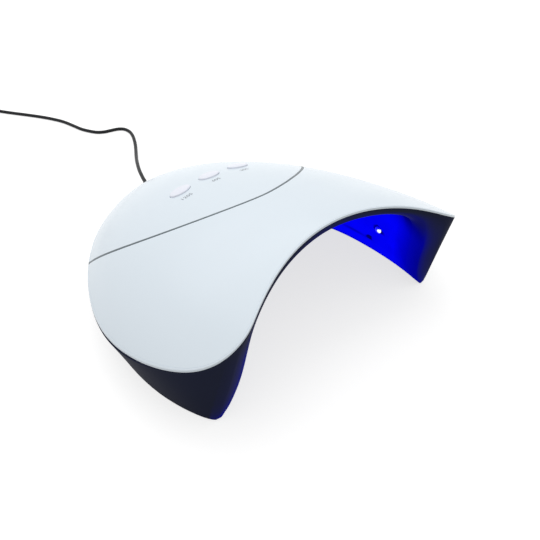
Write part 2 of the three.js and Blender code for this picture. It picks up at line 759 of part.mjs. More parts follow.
// Housing, liner and what they carry
piece('lower_housing', geometryOf(lowerHousing()), darkPlastic);
piece('cavity_liner', geometryOf(cavityLiner()), linerPlastic);
piece('led_strip_left', sideCarrier(-1), boardGreen);
piece('led_strip_right', sideCarrier(1), boardGreen);
piece('led_strip_ceiling_left', ceilingCarrier(-1), boardGreen);
piece('led_strip_ceiling_right', ceilingCarrier(1), boardGreen);
lights.forEach((frame, i) => {
  const number = String(i + 1).padStart(2, '0');
  piece(`led_${number}`, lightBody(), lightLens).applyMatrix4(frame);
});
['ir_emitter', 'ir_receiver'].forEach((name, i) => {
  piece(name, sensorBody(), blackPlastic).applyMatrix4(sensors[i]);
});
screwSpots.forEach(([x, y], i) => {
  const screw = screwBody(screwHeadRadius, screwHeadHeight, screwShankRadius, screwReach);
  piece(`housing_screw_${i + 1}`, screw, steel).position.set(x, y, seatHeight - gap);
});
bothSides.forEach((side, i) => {
  const { y, halfWidth, halfLength, height } = frontPad;
  const front = boxBetween(
    new THREE.Vector3(-halfWidth, -halfLength, 0),
    new THREE.Vector3(halfWidth, halfLength, height),
  );
  piece(`foot_pad_${i + 1}`, front, blackRubber).position.set(side * frontPadX, y, 0);
  piece(`foot_pad_${i + 3}`, rod(rearPad.radius, 0, rearPad.height), blackRubber)
    .position.set(side * rearPad.x, rearPad.y, 0);
});

// Strain relief in the rear wall
const rearWallY = (height) => {
  const low = footOutline[footOutline.length / 2].y;
  const top = wallTop[wallTop.length / 2];
  return low + (top.y - low) * (height - padProud - footRound) / (top.z - padProud - footRound);
};
const collarFace = rearWallY(reliefZ - reliefCollar) - housingWall - gap;
const bootFace = rearWallY(reliefZ + reliefBase) + gap;
const bootEnd = bootFace + reliefBoot;
const reliefBack = collarFace - reliefCollarWall;
const relief = turned([
  [0, reliefBack], [reliefCollar, reliefBack], [reliefCollar, collarFace], [reliefShaft, collarFace],
  [reliefShaft, bootFace], [reliefBase, bootFace], [reliefBase, bootFace + reliefBoot * reliefRimShare],
  [reliefTip, bootEnd], [0, bootEnd],
]).rotateX(-Math.PI / 2);
piece('strain_relief', relief, blackRubber).position.z = reliefZ;

// Clamp over the lead on the housing floor
const clampLow = leadHeight + gap;
let clamp = solid(boxBetween(
  new THREE.Vector3(-clampHalfX, clampY - clampLength / 2, clampLow),
  new THREE.Vector3(clampHalfX, clampY + clampLength / 2, clampLow + clampHeight),
));
const channel = rod(cordRadius + gap, -clampLength, clampLength, fineSides).rotateX(-Math.PI / 2);
clamp = clamp.subtract(solid(channel, at(0, clampY, leadHeight)));
for (const side of bothSides) {
  const hole = rod(clampScrewShank + gap, 0, 2 * clampLow + clampHeight, smallSides);
  clamp = clamp.subtract(solid(hole, at(side * clampScrewX, clampY)));
}
piece('cord_clamp', geometryOf(clamp), blackPlastic);
bothSides.forEach((side, i) => {
  const length = clampHeight + clampLow - padProud - housingFloor / 2;
  const screw = screwBody(clampScrewHead, clampScrewHeadHeight, clampScrewShank, length).rotateX(Math.PI);
  piece(`clamp_screw_${i + 1}`, screw, steel)
    .position.set(side * clampScrewX, clampY, clampLow + clampHeight + gap);
});

// Lead inside the housing, from the relief under the clamp and up to the board
const boardEnd = new THREE.Vector3(0, boardRear * leadEndShare, -boardDrop - boardWall - gap)
  .applyMatrix4(controls.matrix);
const reliefToClamp = [reliefBack - gap - clampY, reliefZ - leadHeight];
const clampToBoard = [boardEnd.y - clampY, boardEnd.z - leadHeight];
const leadPlace = ([along, up]) => ([alongShare, upShare]) => (
  [0, clampY + along * alongShare, leadHeight + up * upShare]
);
const leadBend = smoothRoute([
  ...leadBackShares.map(leadPlace(reliefToClamp)),
  ...leadUpShares.map(leadPlace(clampToBoard)),
]);
piece('lead_inside', tube(leadBend, cordRadius, 26), blackRubber);

// Wires: board to ceiling strip, ceiling strip to side strip, along the liner
const wireLayer = linerWall + carrierClear + carrierWall / 2;
bothSides.forEach((side, i) => {
  const hand = ['left', 'right'][i];
  const low = new THREE.Vector3(side * ceilingCarrierX, 0, -boardDrop - boardWall - gap - wireRadius);
  const start = low.applyMatrix4(controls.matrix);
  const reach = carrierRearY + gap;
  const end = cavityPoint(side, reach, ceilingShare(ceilingCarrierX, reach, wireLayer), wireLayer);
  const half = start.clone().lerp(end, wireHalfShare).setZ(start.z + (end.z - start.z) * wireDropShare);
  const near = start.clone().lerp(end, wireNearShare).setZ(start.z);
  const fromBoard = new THREE.CatmullRomCurve3([start, near, half, end]);
  piece(`wire_board_${hand}`, tube(fromBoard, wireRadius, wireSteps, 6), blackRubber);
  const topShare = ceilingShare(ceilingCarrierX + carrierWidth / 2 + wireClear, 0, wireLayer);
  const lowShare = (sideCarrierZ + carrierWidth / 2 + wireClear) / cavityHeightAt(0, wireLayer);
  const route = Array.from({ length: wireSteps + 1 }, (unused, k) => {
    const share = topShare + (lowShare - topShare) * (k / wireSteps) ** wirePower;
    return cavityPoint(side, 0, share, wireLayer);
  });
  const acrossLiner = new THREE.CatmullRomCurve3(route);
  piece(`wire_side_${hand}`, tube(acrossLiner, wireRadius, wireSteps + 2, 6), blackRubber);
});

// Free lead behind the lamp: droops to the table, bends and runs off to the left
const coilStart = 2 * Math.PI * coilStartTurnShare;
const coilInner = coilMeanRadius - coilPitch * coilTurns / 4;
const coilLow = cordRadius + tieWall + gap;

// A point of the coil: its radius shrinks to the middle turn and grows again a layer higher
function coilPoint(turn) {
  const fromMiddle = turn - coilTurns / 2;
  const radius = coilInner + coilPitch * Math.sqrt(fromMiddle ** 2 + coilSoftness);
  const climb = Math.min(Math.max(2 * fromMiddle + 1 / 2, 0), 1);
  const z = coilLow + coilLayer * climb * climb * (3 - 2 * climb);
  const angle = coilStart + 2 * Math.PI * turn;
  return new THREE.Vector3(coilX + radius * Math.cos(angle), coilY + radius * Math.sin(angle), z);
}

const coilCount = coilTurns * coilSteps;
const coilPath = Array.from({ length: coilCount + 1 }, (unused, i) => coilPoint(i / coilSteps));
const coilIn = coilPath[0].clone().sub(coilPath[1]).setZ(0).normalize();
const coilOut = coilPath.at(-1).clone().sub(coilPath.at(-2)).setZ(0).normalize();
const coilEntry = coilPath[0].clone().addScaledVector(coilIn, 2 * cordRadius);
const coilExit = coilPath.at(-1).clone().addScaledVector(coilOut, plugLead);

const freeRoute = smoothRoute([
  [0, bootEnd + gap, reliefZ], [0.3, 100.6, 10.1], [2.2, 104.2, 10.4], [5.6, 107.8, 10.8], [10, 111.2, 11.2],
  [14.2, 115.2, 11.2], [17.6, 121, 10.9], [20.2, 127.8, 10.4], [22.6, 136, 9.3], [26.4, 144.4, 7.6],
  [31, 153.3, 5.5], [36.8, 162.8, 3.2], [42.8, 172.6, 1.8], [47.4, 181, 1.4], [50.9, 189.3, 1.3],
  [53.8, 196.5, 1.3], [55.3, 203, 1.3], [55.3, 209.6, 1.3], [52.8, 215, 1.3], [48.4, 218, 1.3],
  [43.2, 219.5, 1.3], [37.6, 221.8, 1.3], [33, 226.4, 1.3], [30.3, 233.4, 1.3], [28.7, 242.3, 1.3],
  [26.2, 255, 1.3], [21.6, 266.6, 1.3], [15.8, 277.6, 1.3], [9.2, 288.4, 1.3], [2.6, 298.8, 1.3],
  [-3.4, 308.6, 1.4], [-8.4, 318, 1.8],
  ...[coilLeadIn, 0].map((back) => coilEntry.clone().addScaledVector(coilIn, gap + back).toArray()),
]);
piece('power_cord', tube(freeRoute, cordRadius, 60), blackRubber);

// Coil: one unbroken tube of rings on the path
function windingOf(path, radius, sides) {
  const up = new THREE.Vector3(0, 0, 1);
  const rings = path.map((p, i) => {
    const before = path[Math.max(i - 1, 0)];
    const after = path[Math.min(i + 1, path.length - 1)];
    const along = after.clone().sub(before).normalize();
    const across = along.clone().cross(up).normalize();
    const high = across.clone().cross(along);
    return Array.from({ length: sides }, (unused, k) => {
      const angle = 2 * Math.PI * k / sides;
      return p.clone()
        .addScaledVector(across, radius * Math.cos(angle))
        .addScaledVector(high, radius * Math.sin(angle));
    });
  });
  return loft(rings, path[0], path.at(-1));
}

// Least clear distance of the wound lead to itself, measured on points half a turn or more apart
function leastGap(count) {
  const path = Array.from({ length: count + 1 }, (unused, i) => coilPoint(coilTurns * i / count));
  const apart = Math.ceil(count / (2 * coilTurns));
  let least = Infinity;
  path.forEach((p, i) => {
    for (let k = i + apart; k <= count; k += 1) least = Math.min(least, p.distanceTo(path[k]));
  });
  return least - 2 * cordRadius;
}
console.log(`cord_coil: least gap to itself ${leastGap(coilFinePoints).toFixed(2)} mm`);

const winding = [coilEntry, ...coilPath, coilExit];
piece('cord_coil', windingOf(winding, cordRadius, 6), blackRubber);

// Tie round the coil, opposite its start
const tieAngle = coilStart + Math.PI;
const tieInner = coilInner - cordRadius - gap;
const tieOuter = coilInner + coilPitch * (coilTurns / 2) + cordRadius + gap;
const tieTop = coilLow + coilLayer + cordRadius + gap;
function tieLoop(margin) {
  return boxBetween(
    new THREE.Vector3(tieInner - margin, -tieWidth / 2 - (tieWall - margin), tieWall - margin),
    new THREE.Vector3(tieOuter + margin, tieWidth / 2 + (tieWall - margin), tieTop + margin),
  );
}
const tie = piece('coil_tie', geometryOf(solid(tieLoop(tieWall)).subtract(solid(tieLoop(0)))), blackPlastic);
tie.position.set(coilX, coilY, 0);
tie.rotation.z = tieAngle;

// Plug, lying beside the coil
const plug = new THREE.Group();
plug.position.copy(coilExit).addScaledVector(coilOut, gap).setZ(0);
plug.rotation.z = Math.atan2(coilOut.y, coilOut.x);
lamp.add(plug);
function roundedBlock(width, height, length, edge, start) {
  const [w, h] = [width / 2, height / 2];
  const shape = new THREE.Shape();
  shape.moveTo(-w + edge, -h);
  shape.lineTo(w - edge, -h);
  shape.absarc(w - edge, -h + edge, edge, -Math.PI / 2, 0);
  shape.absarc(w - edge, h - edge, edge, 0, Math.PI / 2);
  shape.absarc(-w + edge, h - edge, edge, Math.PI / 2, Math.PI);
  shape.absarc(-w + edge, -h + edge, edge, Math.PI, 3 * Math.PI / 2);
  const block = new THREE.ExtrudeGeometry(shape, { depth: length, bevelEnabled: false, curveSegments: 4 });
  return block.rotateX(Math.PI / 2).rotateZ(Math.PI / 2).translate(start, 0, 0);
}
const plugMiddle = plugBody.height / 2;
const boot = new THREE.CylinderGeometry(plugBody.bootRadius, cordRadius + gap, plugBody.boot + gap, 16)
  .rotateZ(-Math.PI / 2)
  .translate((plugBody.boot + gap) / 2, 0, 0);
const mould = roundedBlock(plugBody.width, plugBody.height, plugBody.length, plugBody.edge, plugBody.boot);
const socketHalf = new THREE.Vector3(0, plugShell.width / 2 + gap, plugShell.height / 2 + gap);
const socket = boxBetween(
  new THREE.Vector3(plugBody.boot + plugBody.length / 2, -socketHalf.y, plugMiddle - socketHalf.z),
  new THREE.Vector3(2 * plugBody.length, socketHalf.y, plugMiddle + socketHalf.z),
);
const overmould = solid(mould, at(0, 0, plugMiddle))
  .add(solid(boot, at(0, 0, coilExit.z)))
  .subtract(solid(socket));
piece('usb_plug_body', geometryOf(overmould), blackPlastic, plug);

const shellBack = plugBody.boot + plugBody.length / 2 + gap;
const shellEnd = plugBody.boot + plugBody.length + plugShell.length;
const shellHalf = new THREE.Vector3(0, plugShell.width / 2, plugShell.height / 2);
const boreHalf = shellHalf.clone().subScalar(plugShell.wall);
const sleeve = solid(boxBetween(
  new THREE.Vector3(shellBack, -shellHalf.y, plugMiddle - shellHalf.z),
  new THREE.Vector3(shellEnd, shellHalf.y, plugMiddle + shellHalf.z),
)).subtract(solid(boxBetween(
  new THREE.Vector3(shellBack + plugShell.wall, -boreHalf.y, plugMiddle - boreHalf.z),
  new THREE.Vector3(shellEnd + overrun, boreHalf.y, plugMiddle + boreHalf.z),
)));
piece('usb_plug_shell', geometryOf(sleeve), steel, plug);
const tongueLow = plugMiddle - boreHalf.z + gap;
const tongueBack = shellBack + plugShell.wall + gap;
piece('usb_plug_tongue', boxBetween(
  new THREE.Vector3(tongueBack, -plugTongue.width / 2, tongueLow),
  new THREE.Vector3(tongueBack + plugTongue.length, plugTongue.width / 2, tongueLow + plugTongue.height),
), blackPlastic, plug);

export default lamp;
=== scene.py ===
import math

import bmesh
import bpy
import numpy as np
from mathutils import Matrix, Vector


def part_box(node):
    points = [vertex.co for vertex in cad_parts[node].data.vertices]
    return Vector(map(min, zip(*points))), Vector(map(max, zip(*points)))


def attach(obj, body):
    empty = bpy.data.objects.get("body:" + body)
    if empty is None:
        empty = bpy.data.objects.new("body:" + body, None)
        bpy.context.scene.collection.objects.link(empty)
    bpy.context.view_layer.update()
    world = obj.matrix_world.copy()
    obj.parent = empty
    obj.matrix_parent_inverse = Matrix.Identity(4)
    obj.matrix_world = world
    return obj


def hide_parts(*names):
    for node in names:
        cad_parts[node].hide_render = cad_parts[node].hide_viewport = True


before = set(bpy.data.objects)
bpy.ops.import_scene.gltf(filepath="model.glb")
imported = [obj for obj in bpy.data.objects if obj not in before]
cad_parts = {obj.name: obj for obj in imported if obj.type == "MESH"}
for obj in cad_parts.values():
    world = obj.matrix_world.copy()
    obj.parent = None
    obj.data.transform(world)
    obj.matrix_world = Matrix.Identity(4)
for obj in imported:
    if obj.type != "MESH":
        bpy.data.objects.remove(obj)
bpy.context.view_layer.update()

scene = bpy.context.scene
mm = 0.001  # shapes are worked out in millimetres and stored in metres

# Camera, at the photograph's place

camera = {
    "focal": 47.184, "sensor": 36.0, "turn": 47.739, "down": 37.796,
    "place": (-0.209062, -0.257966, 0.263305), "clip": (0.01, 20),
}


def toMatrix(place, x, y, z):
    turn = Matrix((Vector(x), Vector(y), Vector(z))).transposed().to_4x4()
    return Matrix.Translation(Vector(place)) @ turn


def addObject(name, data):
    made = bpy.data.objects.new(name, data)
    scene.collection.objects.link(made)
    return made


def addCamera():
    turn, down = math.radians(camera["turn"]), math.radians(camera["down"])
    right = Vector((math.sin(turn), -math.cos(turn), 0))
    ahead = Vector((math.cos(turn) * math.cos(down), math.sin(turn) * math.cos(down), -math.sin(down)))
    up = right.cross(ahead)
    data = bpy.data.cameras.new("photoCamera")
    data.lens = camera["focal"]
    data.sensor_width = camera["sensor"]
    data.clip_start, data.clip_end = camera["clip"]
    scene.camera = addObject("photoCamera", data)
    scene.camera.matrix_world = toMatrix(camera["place"], right, up, -ahead)


addCamera()
print("camera set")

# Small tools for surfaces


def smoothStep(t):
    t = np.clip(t, 0, 1)
    return t * t * (3 - 2 * t)


def ramp(value, start, span):
    # nought up to the start, one past the span, and a smooth step between
    return smoothStep((value - start) / span)


def unit(v):
    return v / np.maximum(np.linalg.norm(v, axis=-1, keepdims=True), 1e-12)


def lengthsOf(line):
    return np.concatenate([[0], np.cumsum(np.linalg.norm(np.diff(line, axis=0), axis=1))])


def leftOf(along):
    return np.stack([-along[:, 1], along[:, 0]], -1)


def gridFaces(rows, columns, ring=True, first=0):
    # four corners of each cell of a grid stored row by row
    i, j = np.meshgrid(np.arange(rows - 1), np.arange(columns if ring else columns - 1), indexing="ij")
    k = (j + 1) % columns
    low, high = i * columns, (i + 1) * columns
    return np.stack([low + j, low + k, high + k, high + j], -1).reshape(-1, 4) + first


def fanFaces(columns, hub, first, turned=False):
    # triangles from one point to a ring
    j = np.arange(columns)
    k = (j + 1) % columns
    fan = np.stack([np.full(columns, hub), first + j, first + k], -1)
    return fan[:, ::-1] if turned else fan


def addPiece(name, points, faces):
    mesh = bpy.data.meshes.new(name)
    lists = [f.tolist() if hasattr(f, "tolist") else f for f in faces]
    mesh.from_pydata((np.asarray(points) * mm).tolist(), [], [face for part in lists for face in part])
    mesh.polygons.foreach_set("use_smooth", np.ones(len(mesh.polygons), bool))
    mesh.update()
    return addObject(name, mesh)


def pointsOf(mesh):
    flat = np.empty(len(mesh.vertices) * 3)
    mesh.vertices.foreach_get("co", flat)
    return flat.reshape(-1, 3)


def moved(points, place):
    return points @ np.array(place.to_3x3()).T + np.array(place.translation)


def rounded(corners, radius, steps):
    # a profile of corners with each inner corner turned into a short curve
    corners = np.asarray(corners, float)
    out = [corners[:1]]
    share = np.linspace(0, 1, steps + 1)
    for before, here, after in zip(corners[:-2], corners[1:-1], corners[2:]):
        start, end = (
            here + unit(far - here) * min(radius, 0.45 * np.linalg.norm(far - here))
            for far in (before, after)
        )
        out.append(bezier([start, here, end], share))
    return np.concatenate(out + [corners[-1:]])


def settle(piece):
    # put the result of the modifiers into the mesh
    bpy.context.view_layer.update()
    whole = piece.evaluated_get(bpy.context.evaluated_depsgraph_get())
    mesh = bpy.data.meshes.new_from_object(whole)
    piece.modifiers.clear()
    piece.data = mesh
    return piece


def sharpen(piece, degrees=32):
    piece.data.polygons.foreach_set("use_smooth", np.ones(len(piece.data.polygons), bool))
    piece.data.set_sharp_from_angle(angle=math.radians(degrees))
    return piece


def weld(piece, distance, outward=None):
    # join doubles and turn all faces one way; outward is a point and a direction that its face looks in
    work = bmesh.new()
    work.from_mesh(piece.data)
    bmesh.ops.remove_doubles(work, verts=work.verts, dist=distance * mm)
    bmesh.ops.dissolve_degenerate(work, edges=work.edges, dist=distance * mm)
    bmesh.ops.recalc_face_normals(work, faces=work.faces)
    if outward is not None:
        spot, look = Vector(outward[0]) * mm, Vector(outward[1])
        near = min(work.faces, key=lambda face: (face.calc_center_median() - spot).length)
        if near.normal.dot(look) < 0:
            bmesh.ops.reverse_faces(work, faces=work.faces)
    work.to_mesh(piece.data)
    work.free()
    return piece


def closedStack(name, rings, ends=None, place=None, distance=0.001, outward=None):
    # rings of points in a row, closed at both ends by a fan to a given point or to the ring's middle
    rows, columns = rings.shape[:2]
    ends = rings[[0, -1]].mean(1) if ends is None else ends
    points = np.concatenate([rings.reshape(-1, 3), ends])
    total = rows * columns
    return weld(addPiece(name, points if place is None else moved(points, place), [
        gridFaces(rows, columns), fanFaces(columns, total, 0, True),
        fanFaces(columns, total + 1, total - columns),
    ]), distance, outward)


def lathe(name, profile, place, sides):
    # radius and height pairs turned about Z, closed at both ends where the radius is nought
    profile = np.asarray(profile, float)
    angle = np.arange(sides) * 2 * math.pi / sides
    radius, height = profile[1:-1, :1], profile[1:-1, 1:]
    rings = np.stack([radius * np.cos(angle), radius * np.sin(angle), height + 0 * angle], -1)
    return closedStack(name, rings, [(0, 0, z) for z in profile[[0, -1], 1]], place)


def rod(name, radius, low, high, place):
    return lathe(name, [(0, low), (radius, low), (radius, high), (0, high)], place, 48)


def block(name, sections, place, per=8):
    # a stack of rounded rectangles: half width, half depth, corner radius and height of each
    quarter = np.linspace(0, math.pi / 2, per)
    angle = np.concatenate([quarter + k * math.pi / 2 for k in range(4)])
    signX, signY = np.repeat([1, -1, -1, 1], per), np.repeat([1, 1, -1, -1], per)
    halfX, halfY, corner, height = np.asarray(sections, float).T[:, :, None]
    rings = np.stack([
        signX * (halfX - corner) + corner * np.cos(angle), signY * (halfY - corner) + corner * np.sin(angle),
        height + 0 * angle,
    ], -1)
    return closedStack(name, rings, place=place)


def straight(name, plan, low, high, place, per=8):
    # a block whose plan, half sizes and corner radius, stays the same from low to high
    return block(name, [(*plan, low), (*plan, high)], place, per)


def cut(piece, cutters, operation="DIFFERENCE"):
    for cutter in cutters:
        step = piece.modifiers.new("cut", "BOOLEAN")
        step.operation = operation
        step.solver = "MANIFOLD"
        step.object = cutter
    settle(piece)
    for cutter in cutters:
        bpy.data.objects.remove(cutter)
    return piece


# Dome of the shell: the same formula as the part's source

dome = {
    "halfSpan": 113.7, "crest": 74.4, "crestY": -89.45, "spineReach": 192.1, "sideReach": 182.5,
    "base": 13.4, "power": 0.673, "wall": 2.4, "hubY": -10.0,
}
rim = {
    "front": 70.5, "tip": (66, 89), "tipPull": (88.4, 95.7), "cornerY": 74.2,
    "half": 100, "wideY": 35.3, "flankY": 21.5, "rearPull": 48.8, "rear": 90.1,
}
foot = {
    "front": 65.6, "tip": (76.3, 76.2), "tipPull": (80.1, 76.9), "cornerY": 55.3,
    "half": 88.8, "wideY": 25.8, "flankY": 40, "rearPull": 50.1, "rear": 80.9,
}
steps = {"front": 30, "corner": 44, "flank": 80}
controls = {"y": 23.4, "pitch": 20.7}


def domeHeight(x, y):
    # an elliptic spine along Y that falls to both sides as a power of one less the square of x
    u = np.maximum(y - dome["crestY"], 0)
    spine = dome["crest"] * np.sqrt(np.maximum(1 - (u / dome["spineReach"]) ** 2, 0))
    half = dome["halfSpan"] * np.sqrt(np.maximum(1 - (u / dome["sideReach"]) ** 2, 0))
    return dome["base"] + (spine - dome["base"]) * np.maximum(1 - (x / half) ** 2, 0) ** dome["power"]


def domeNormal(x, y):
    step = 0.01
    slopeX = (domeHeight(x + step, y) - domeHeight(x - step, y)) / (2 * step)
    slopeY = (domeHeight(x, y + step) - domeHeight(x, y - step)) / (2 * step)
    return unit(np.stack([-slopeX, -slopeY, np.ones_like(slopeX)], -1))


def domePoint(x, y, offset):
    base = np.stack([x, y, domeHeight(x, y)], -1)
    return base + domeNormal(x, y) * np.asarray(offset)[..., None]


def bezier(points, t):
    # a curve of three or four control points
    weights = {
        3: lambda s: [(1 - s) ** 2, 2 * s * (1 - s), s ** 2],
        4: lambda s: [(1 - s) ** 3, 3 * s * (1 - s) ** 2, 3 * s ** 2 * (1 - s), s ** 3],
    }[len(points)](t)
    return sum(w[:, None] * np.asarray(p, float) for w, p in zip(weights, points))


def softRing(ring, spread=1.6):
    # a closed row of points evened out a little along itself
    reach = np.arange(-6, 7)
    weights = np.exp(-(reach / spread) ** 2 / 2)
    weights /= weights.sum()
    return sum(w * np.roll(ring, k, 0) for w, k in zip(weights, reach))


def outline(o):
    # front edge, tip, corner, flank and rear on the right, then the same mirrored
    def share(count):
        return np.arange(1, count + 1) / count

    tipX, tipY = o["tip"]
    pullX, pullY = o["tipPull"]
    tip, wide, end = (tipX, -tipY), (o["half"], -o["wideY"]), (0, o["rear"])
    front = bezier([(0, -o["front"]), (tipX / 2, -o["front"]), tip], share(steps["front"]))
    corner = bezier([tip, (pullX, -pullY), (o["half"], -o["cornerY"]), wide], share(steps["corner"]))
    flank = bezier([wide, (o["half"], o["flankY"]), (o["rearPull"], o["rear"]), end], share(steps["flank"]))
    half = np.concatenate([[[0, -o["front"]]], front, corner, flank])
    left = half[1:-1][::-1] * [-1, 1]
    return softRing(np.concatenate([half, left]))


def inwardOf(ring):
    return leftOf(unit(np.roll(ring, -1, 0) - np.roll(ring, 1, 0)))


rimRing = outline(rim)
footRing = outline(foot)
rimInward = inwardOf(rimRing)
footInward = softRing(inwardOf(footRing), 2.5)
around = len(rimRing)
rearIndex = around // 2
shellRim = {
    "edge": 0.3, "lowEdge": 0.2, "lip": 1.3, "topRows": 72, "arc": 5, "lift": 1.3, "tipLift": 0.25,
    "tipInset": 0.4, "flankInset": 0.5, "wallInset": 0.9, "line": (0.95, 0.75, 0.12),
    "lowSteps": (0.8, 1.6, 2.4, 3.2, 4.0, 5.0, 6.5, 9, 12), "liftFrom": (35, 35), "liftFade": (45, 40),
    "tipX": (45, 35), "tipY": (45, 30), "flankX": (60, 30), "flankY": (-10, 40), "thin": (2, 3),
}


def frontLift(x, y):
    # the dome rises a little towards its front edge, least at the legs' tips
    less = (1 - shellRim["tipLift"]) * ramp(np.abs(x), *shellRim["liftFade"])
    return shellRim["lift"] * ramp(-y, *shellRim["liftFrom"]) * (1 - less)


rimAside, rimAhead = np.abs(rimRing[:, 0]), -rimRing[:, 1]
tipShare = ramp(rimAside, *shellRim["tipX"]) * ramp(rimAhead, *shellRim["tipY"])
flankShare = ramp(rimAside, *shellRim["flankX"]) * ramp(rimAhead, *shellRim["flankY"])
shellInset = shellRim["flankInset"] * flankShare + shellRim["tipInset"] * tipShare


def slopeFrame():
    normal = domeNormal(np.array(0.0), np.array(controls["y"]))
    place = (0, controls["y"], float(domeHeight(0.0, controls["y"])))
    return toMatrix(place, (1, 0, 0), (0, float(normal[2]), -float(normal[1])), normal.tolist())


controlFrame = slopeFrame()


def onDome(x, y, offset):
    # the point straight along the buttons' axis from (x, y) of their frame that lies offset from the dome
    axis = np.array(controlFrame.to_3x3())[:, 2]
    z = np.zeros_like(x)
    for _ in range(12):
        p = moved(np.stack([x, y, z], -1), controlFrame)
        normal = domeNormal(p[..., 0], p[..., 1])
        height = (p[..., 2] - domeHeight(p[..., 0], p[..., 1])) * normal[..., 2]
        z = z + (offset - height) / np.maximum((normal * axis).sum(-1), 0.2)
    return moved(np.stack([x, y, z], -1), controlFrame)


# Cord: the source's route, fitted to the photo a little closer, then its coil, as one length

cordPlan = {
    "radius": 1.3, "exit": (0, float(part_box("strain_relief")[1][1]) / mm + 0.3, 10),
    "turns": 7.25, "pitch": 3.4, "meanRadius": 14, "layer": 3.05, "centre": (-32, 321), "startShare": 0.075,
    "soft": 0.02, "low": 2.1, "leadIn": 6, "plugLead": 9, "sides": 18, "perTurn": 24,
    "steps": 8,
}
cordRoute = [
    (0.3, 100.6, 10.1), (2.2, 104.2, 10.4), (5.6, 107.8, 10.8), (10, 111.2, 11.2),
    (12.8, 115.2, 11.2), (14.4, 119.6, 10.9), (17.2, 126.6, 10.4), (20.9, 134.8, 9.3), (25.8, 144.3, 7.6),
    (30.6, 153, 5.5), (36.6, 163.1, 3.2), (42.5, 172.7, 1.8), (47.4, 180.8, 1.4), (51.7, 188.9, 1.3),
    (55.3, 197.2, 1.3), (56.8, 204.1, 1.3), (55.9, 210, 1.3), (52.5, 213.3, 1.3), (46.8, 215.1, 1.3),
    (41.4, 216.6, 1.3), (36.7, 220, 1.3), (33, 226.4, 1.3), (30.3, 233.4, 1.3), (28.7, 242.3, 1.3),
    (26.2, 255, 1.3), (21.6, 266.6, 1.3), (15.8, 277.6, 1.3), (9.2, 288.4, 1.3), (2.6, 298.8, 1.3),
    (-3.4, 308.6, 1.4), (-8.4, 318, 1.8),
]


coilInner = cordPlan["meanRadius"] - cordPlan["pitch"] * cordPlan["turns"] / 4


def coilPoints(turn):
    # the radius shrinks to the middle turn and grows again one layer higher
    plan = cordPlan
    fromMiddle = turn - plan["turns"] / 2
    radius = coilInner + plan["pitch"] * np.sqrt(fromMiddle ** 2 + plan["soft"])
    z = plan["low"] + plan["layer"] * smoothStep(2 * fromMiddle + 0.5)
    angle = 2 * math.pi * (plan["startShare"] + turn)
    x, y = plan["centre"]
    return np.stack([x + radius * np.cos(angle), y + radius * np.sin(angle), z], -1)


def throughPoints(points):
    # centripetal Catmull-Rom curve, the kind that the part's source uses
    per = cordPlan["steps"]
    p = np.asarray(points, float)
    p = np.concatenate([[2 * p[0] - p[1]], p, [2 * p[-1] - p[-2]]])
    a, b, c, d = p[:-3], p[1:-2], p[2:-1], p[3:]
    gapA, gapB, gapC = (np.sqrt(np.linalg.norm(q - r, axis=1))[:, None] for q, r in ((b, a), (c, b), (d, c)))
    leave = ((b - a) / gapA - (c - a) / (gapA + gapB) + (c - b) / gapB) * gapB
    reach = ((c - b) / gapB - (d - b) / (gapB + gapC) + (d - c) / gapC) * gapB
    t = (np.arange(per) / per)[None, :, None]
    b, c, leave, reach = (v[:, None, :] for v in (b, c, leave, reach))
    curve = (
        (2 * t ** 3 - 3 * t ** 2 + 1) * b + (t ** 3 - 2 * t ** 2 + t) * leave
        + (3 * t ** 2 - 2 * t ** 3) * c + (t ** 3 - t ** 2) * reach
    )
    return np.concatenate([curve.reshape(-1, 3), p[-2:-1]])


def tubeMesh(name, path, radius, sides):
    # a circle carried along the path; its frame keeps one side up
    along = unit(np.gradient(path, axis=0))
    across = unit(np.cross(along, [0.0, 0.0, 1.0]))
    high = np.cross(across, along)
    angle = (np.arange(sides) * 2 * math.pi / sides)[:, None]
    rings = path[:, None] + radius * (across[:, None] * np.cos(angle) + high[:, None] * np.sin(angle))
    return closedStack(name, rings, path[[0, -1]])


def levelWay(start, end):
    return unit((end - start) * [1, 1, 0])


def wholeCordPath():
    # the free part, the coil and a short straight end for the plug, and the way that the plug points
    plan = cordPlan
    per = plan["perTurn"]
    turns = coilPoints(np.linspace(0, plan["turns"], int(plan["turns"] * 64) + 1))
    wayIn = levelWay(*coilPoints(np.array([1 / per, 0])))
    entry = turns[0] + wayIn * 2 * plan["radius"]
    lead = [entry + wayIn * (0.3 + back) for back in (plan["leadIn"], 0)]
    wayOut = levelWay(*coilPoints(np.array([(int(plan["turns"] * per) - 1) / per, plan["turns"]])))
    end = turns[-1] + wayOut * (plan["plugLead"] * np.array([[0.25], [0.5], [0.75], [1]]))
    return np.concatenate([throughPoints([plan["exit"]] + cordRoute + lead), turns, end]), wayOut


cordPath, plugWay = wholeCordPath()

# Materials


def fill(tree, node, values):
    # each socket takes a value or another node's output
    for label, value in dict(values).items():
        if isinstance(value, bpy.types.NodeSocket):
            tree.links.new(value, node.inputs[label])
        else:
            node.inputs[label].default_value = value
    return node


def addNode(tree, kind, values=(), **settings):
    node = tree.nodes.new(kind)
    for key, value in settings.items():
        setattr(node, key, value)
    return fill(tree, node, values)


def calc(tree, operation, *values):
    return addNode(tree, "ShaderNodeMath", enumerate(values), operation=operation).outputs[0]


def scaled(tree, color, share):
    return addNode(tree, "ShaderNodeVectorMath", {0: color, "Scale": share}, operation="SCALE").outputs[0]


def mapped(tree, source, values):
    return addNode(tree, "ShaderNodeMapRange", {"Value": source, **values}).outputs["Result"]


def noise(tree, where, scale, detail):
    values = {"Vector": where, "Scale": scale, "Detail": detail}
    return addNode(tree, "ShaderNodeTexNoise", values).outputs["Fac"]


def glowAndPaintedLightOf(tree):
    # the piece's own share of the lamp's blue light: the lamp's own glow on the lenses, painted light on the
    # liner and housing
    return addNode(tree, "ShaderNodeAttribute", attribute_name="glowAndPaintedLight").outputs["Fac"]


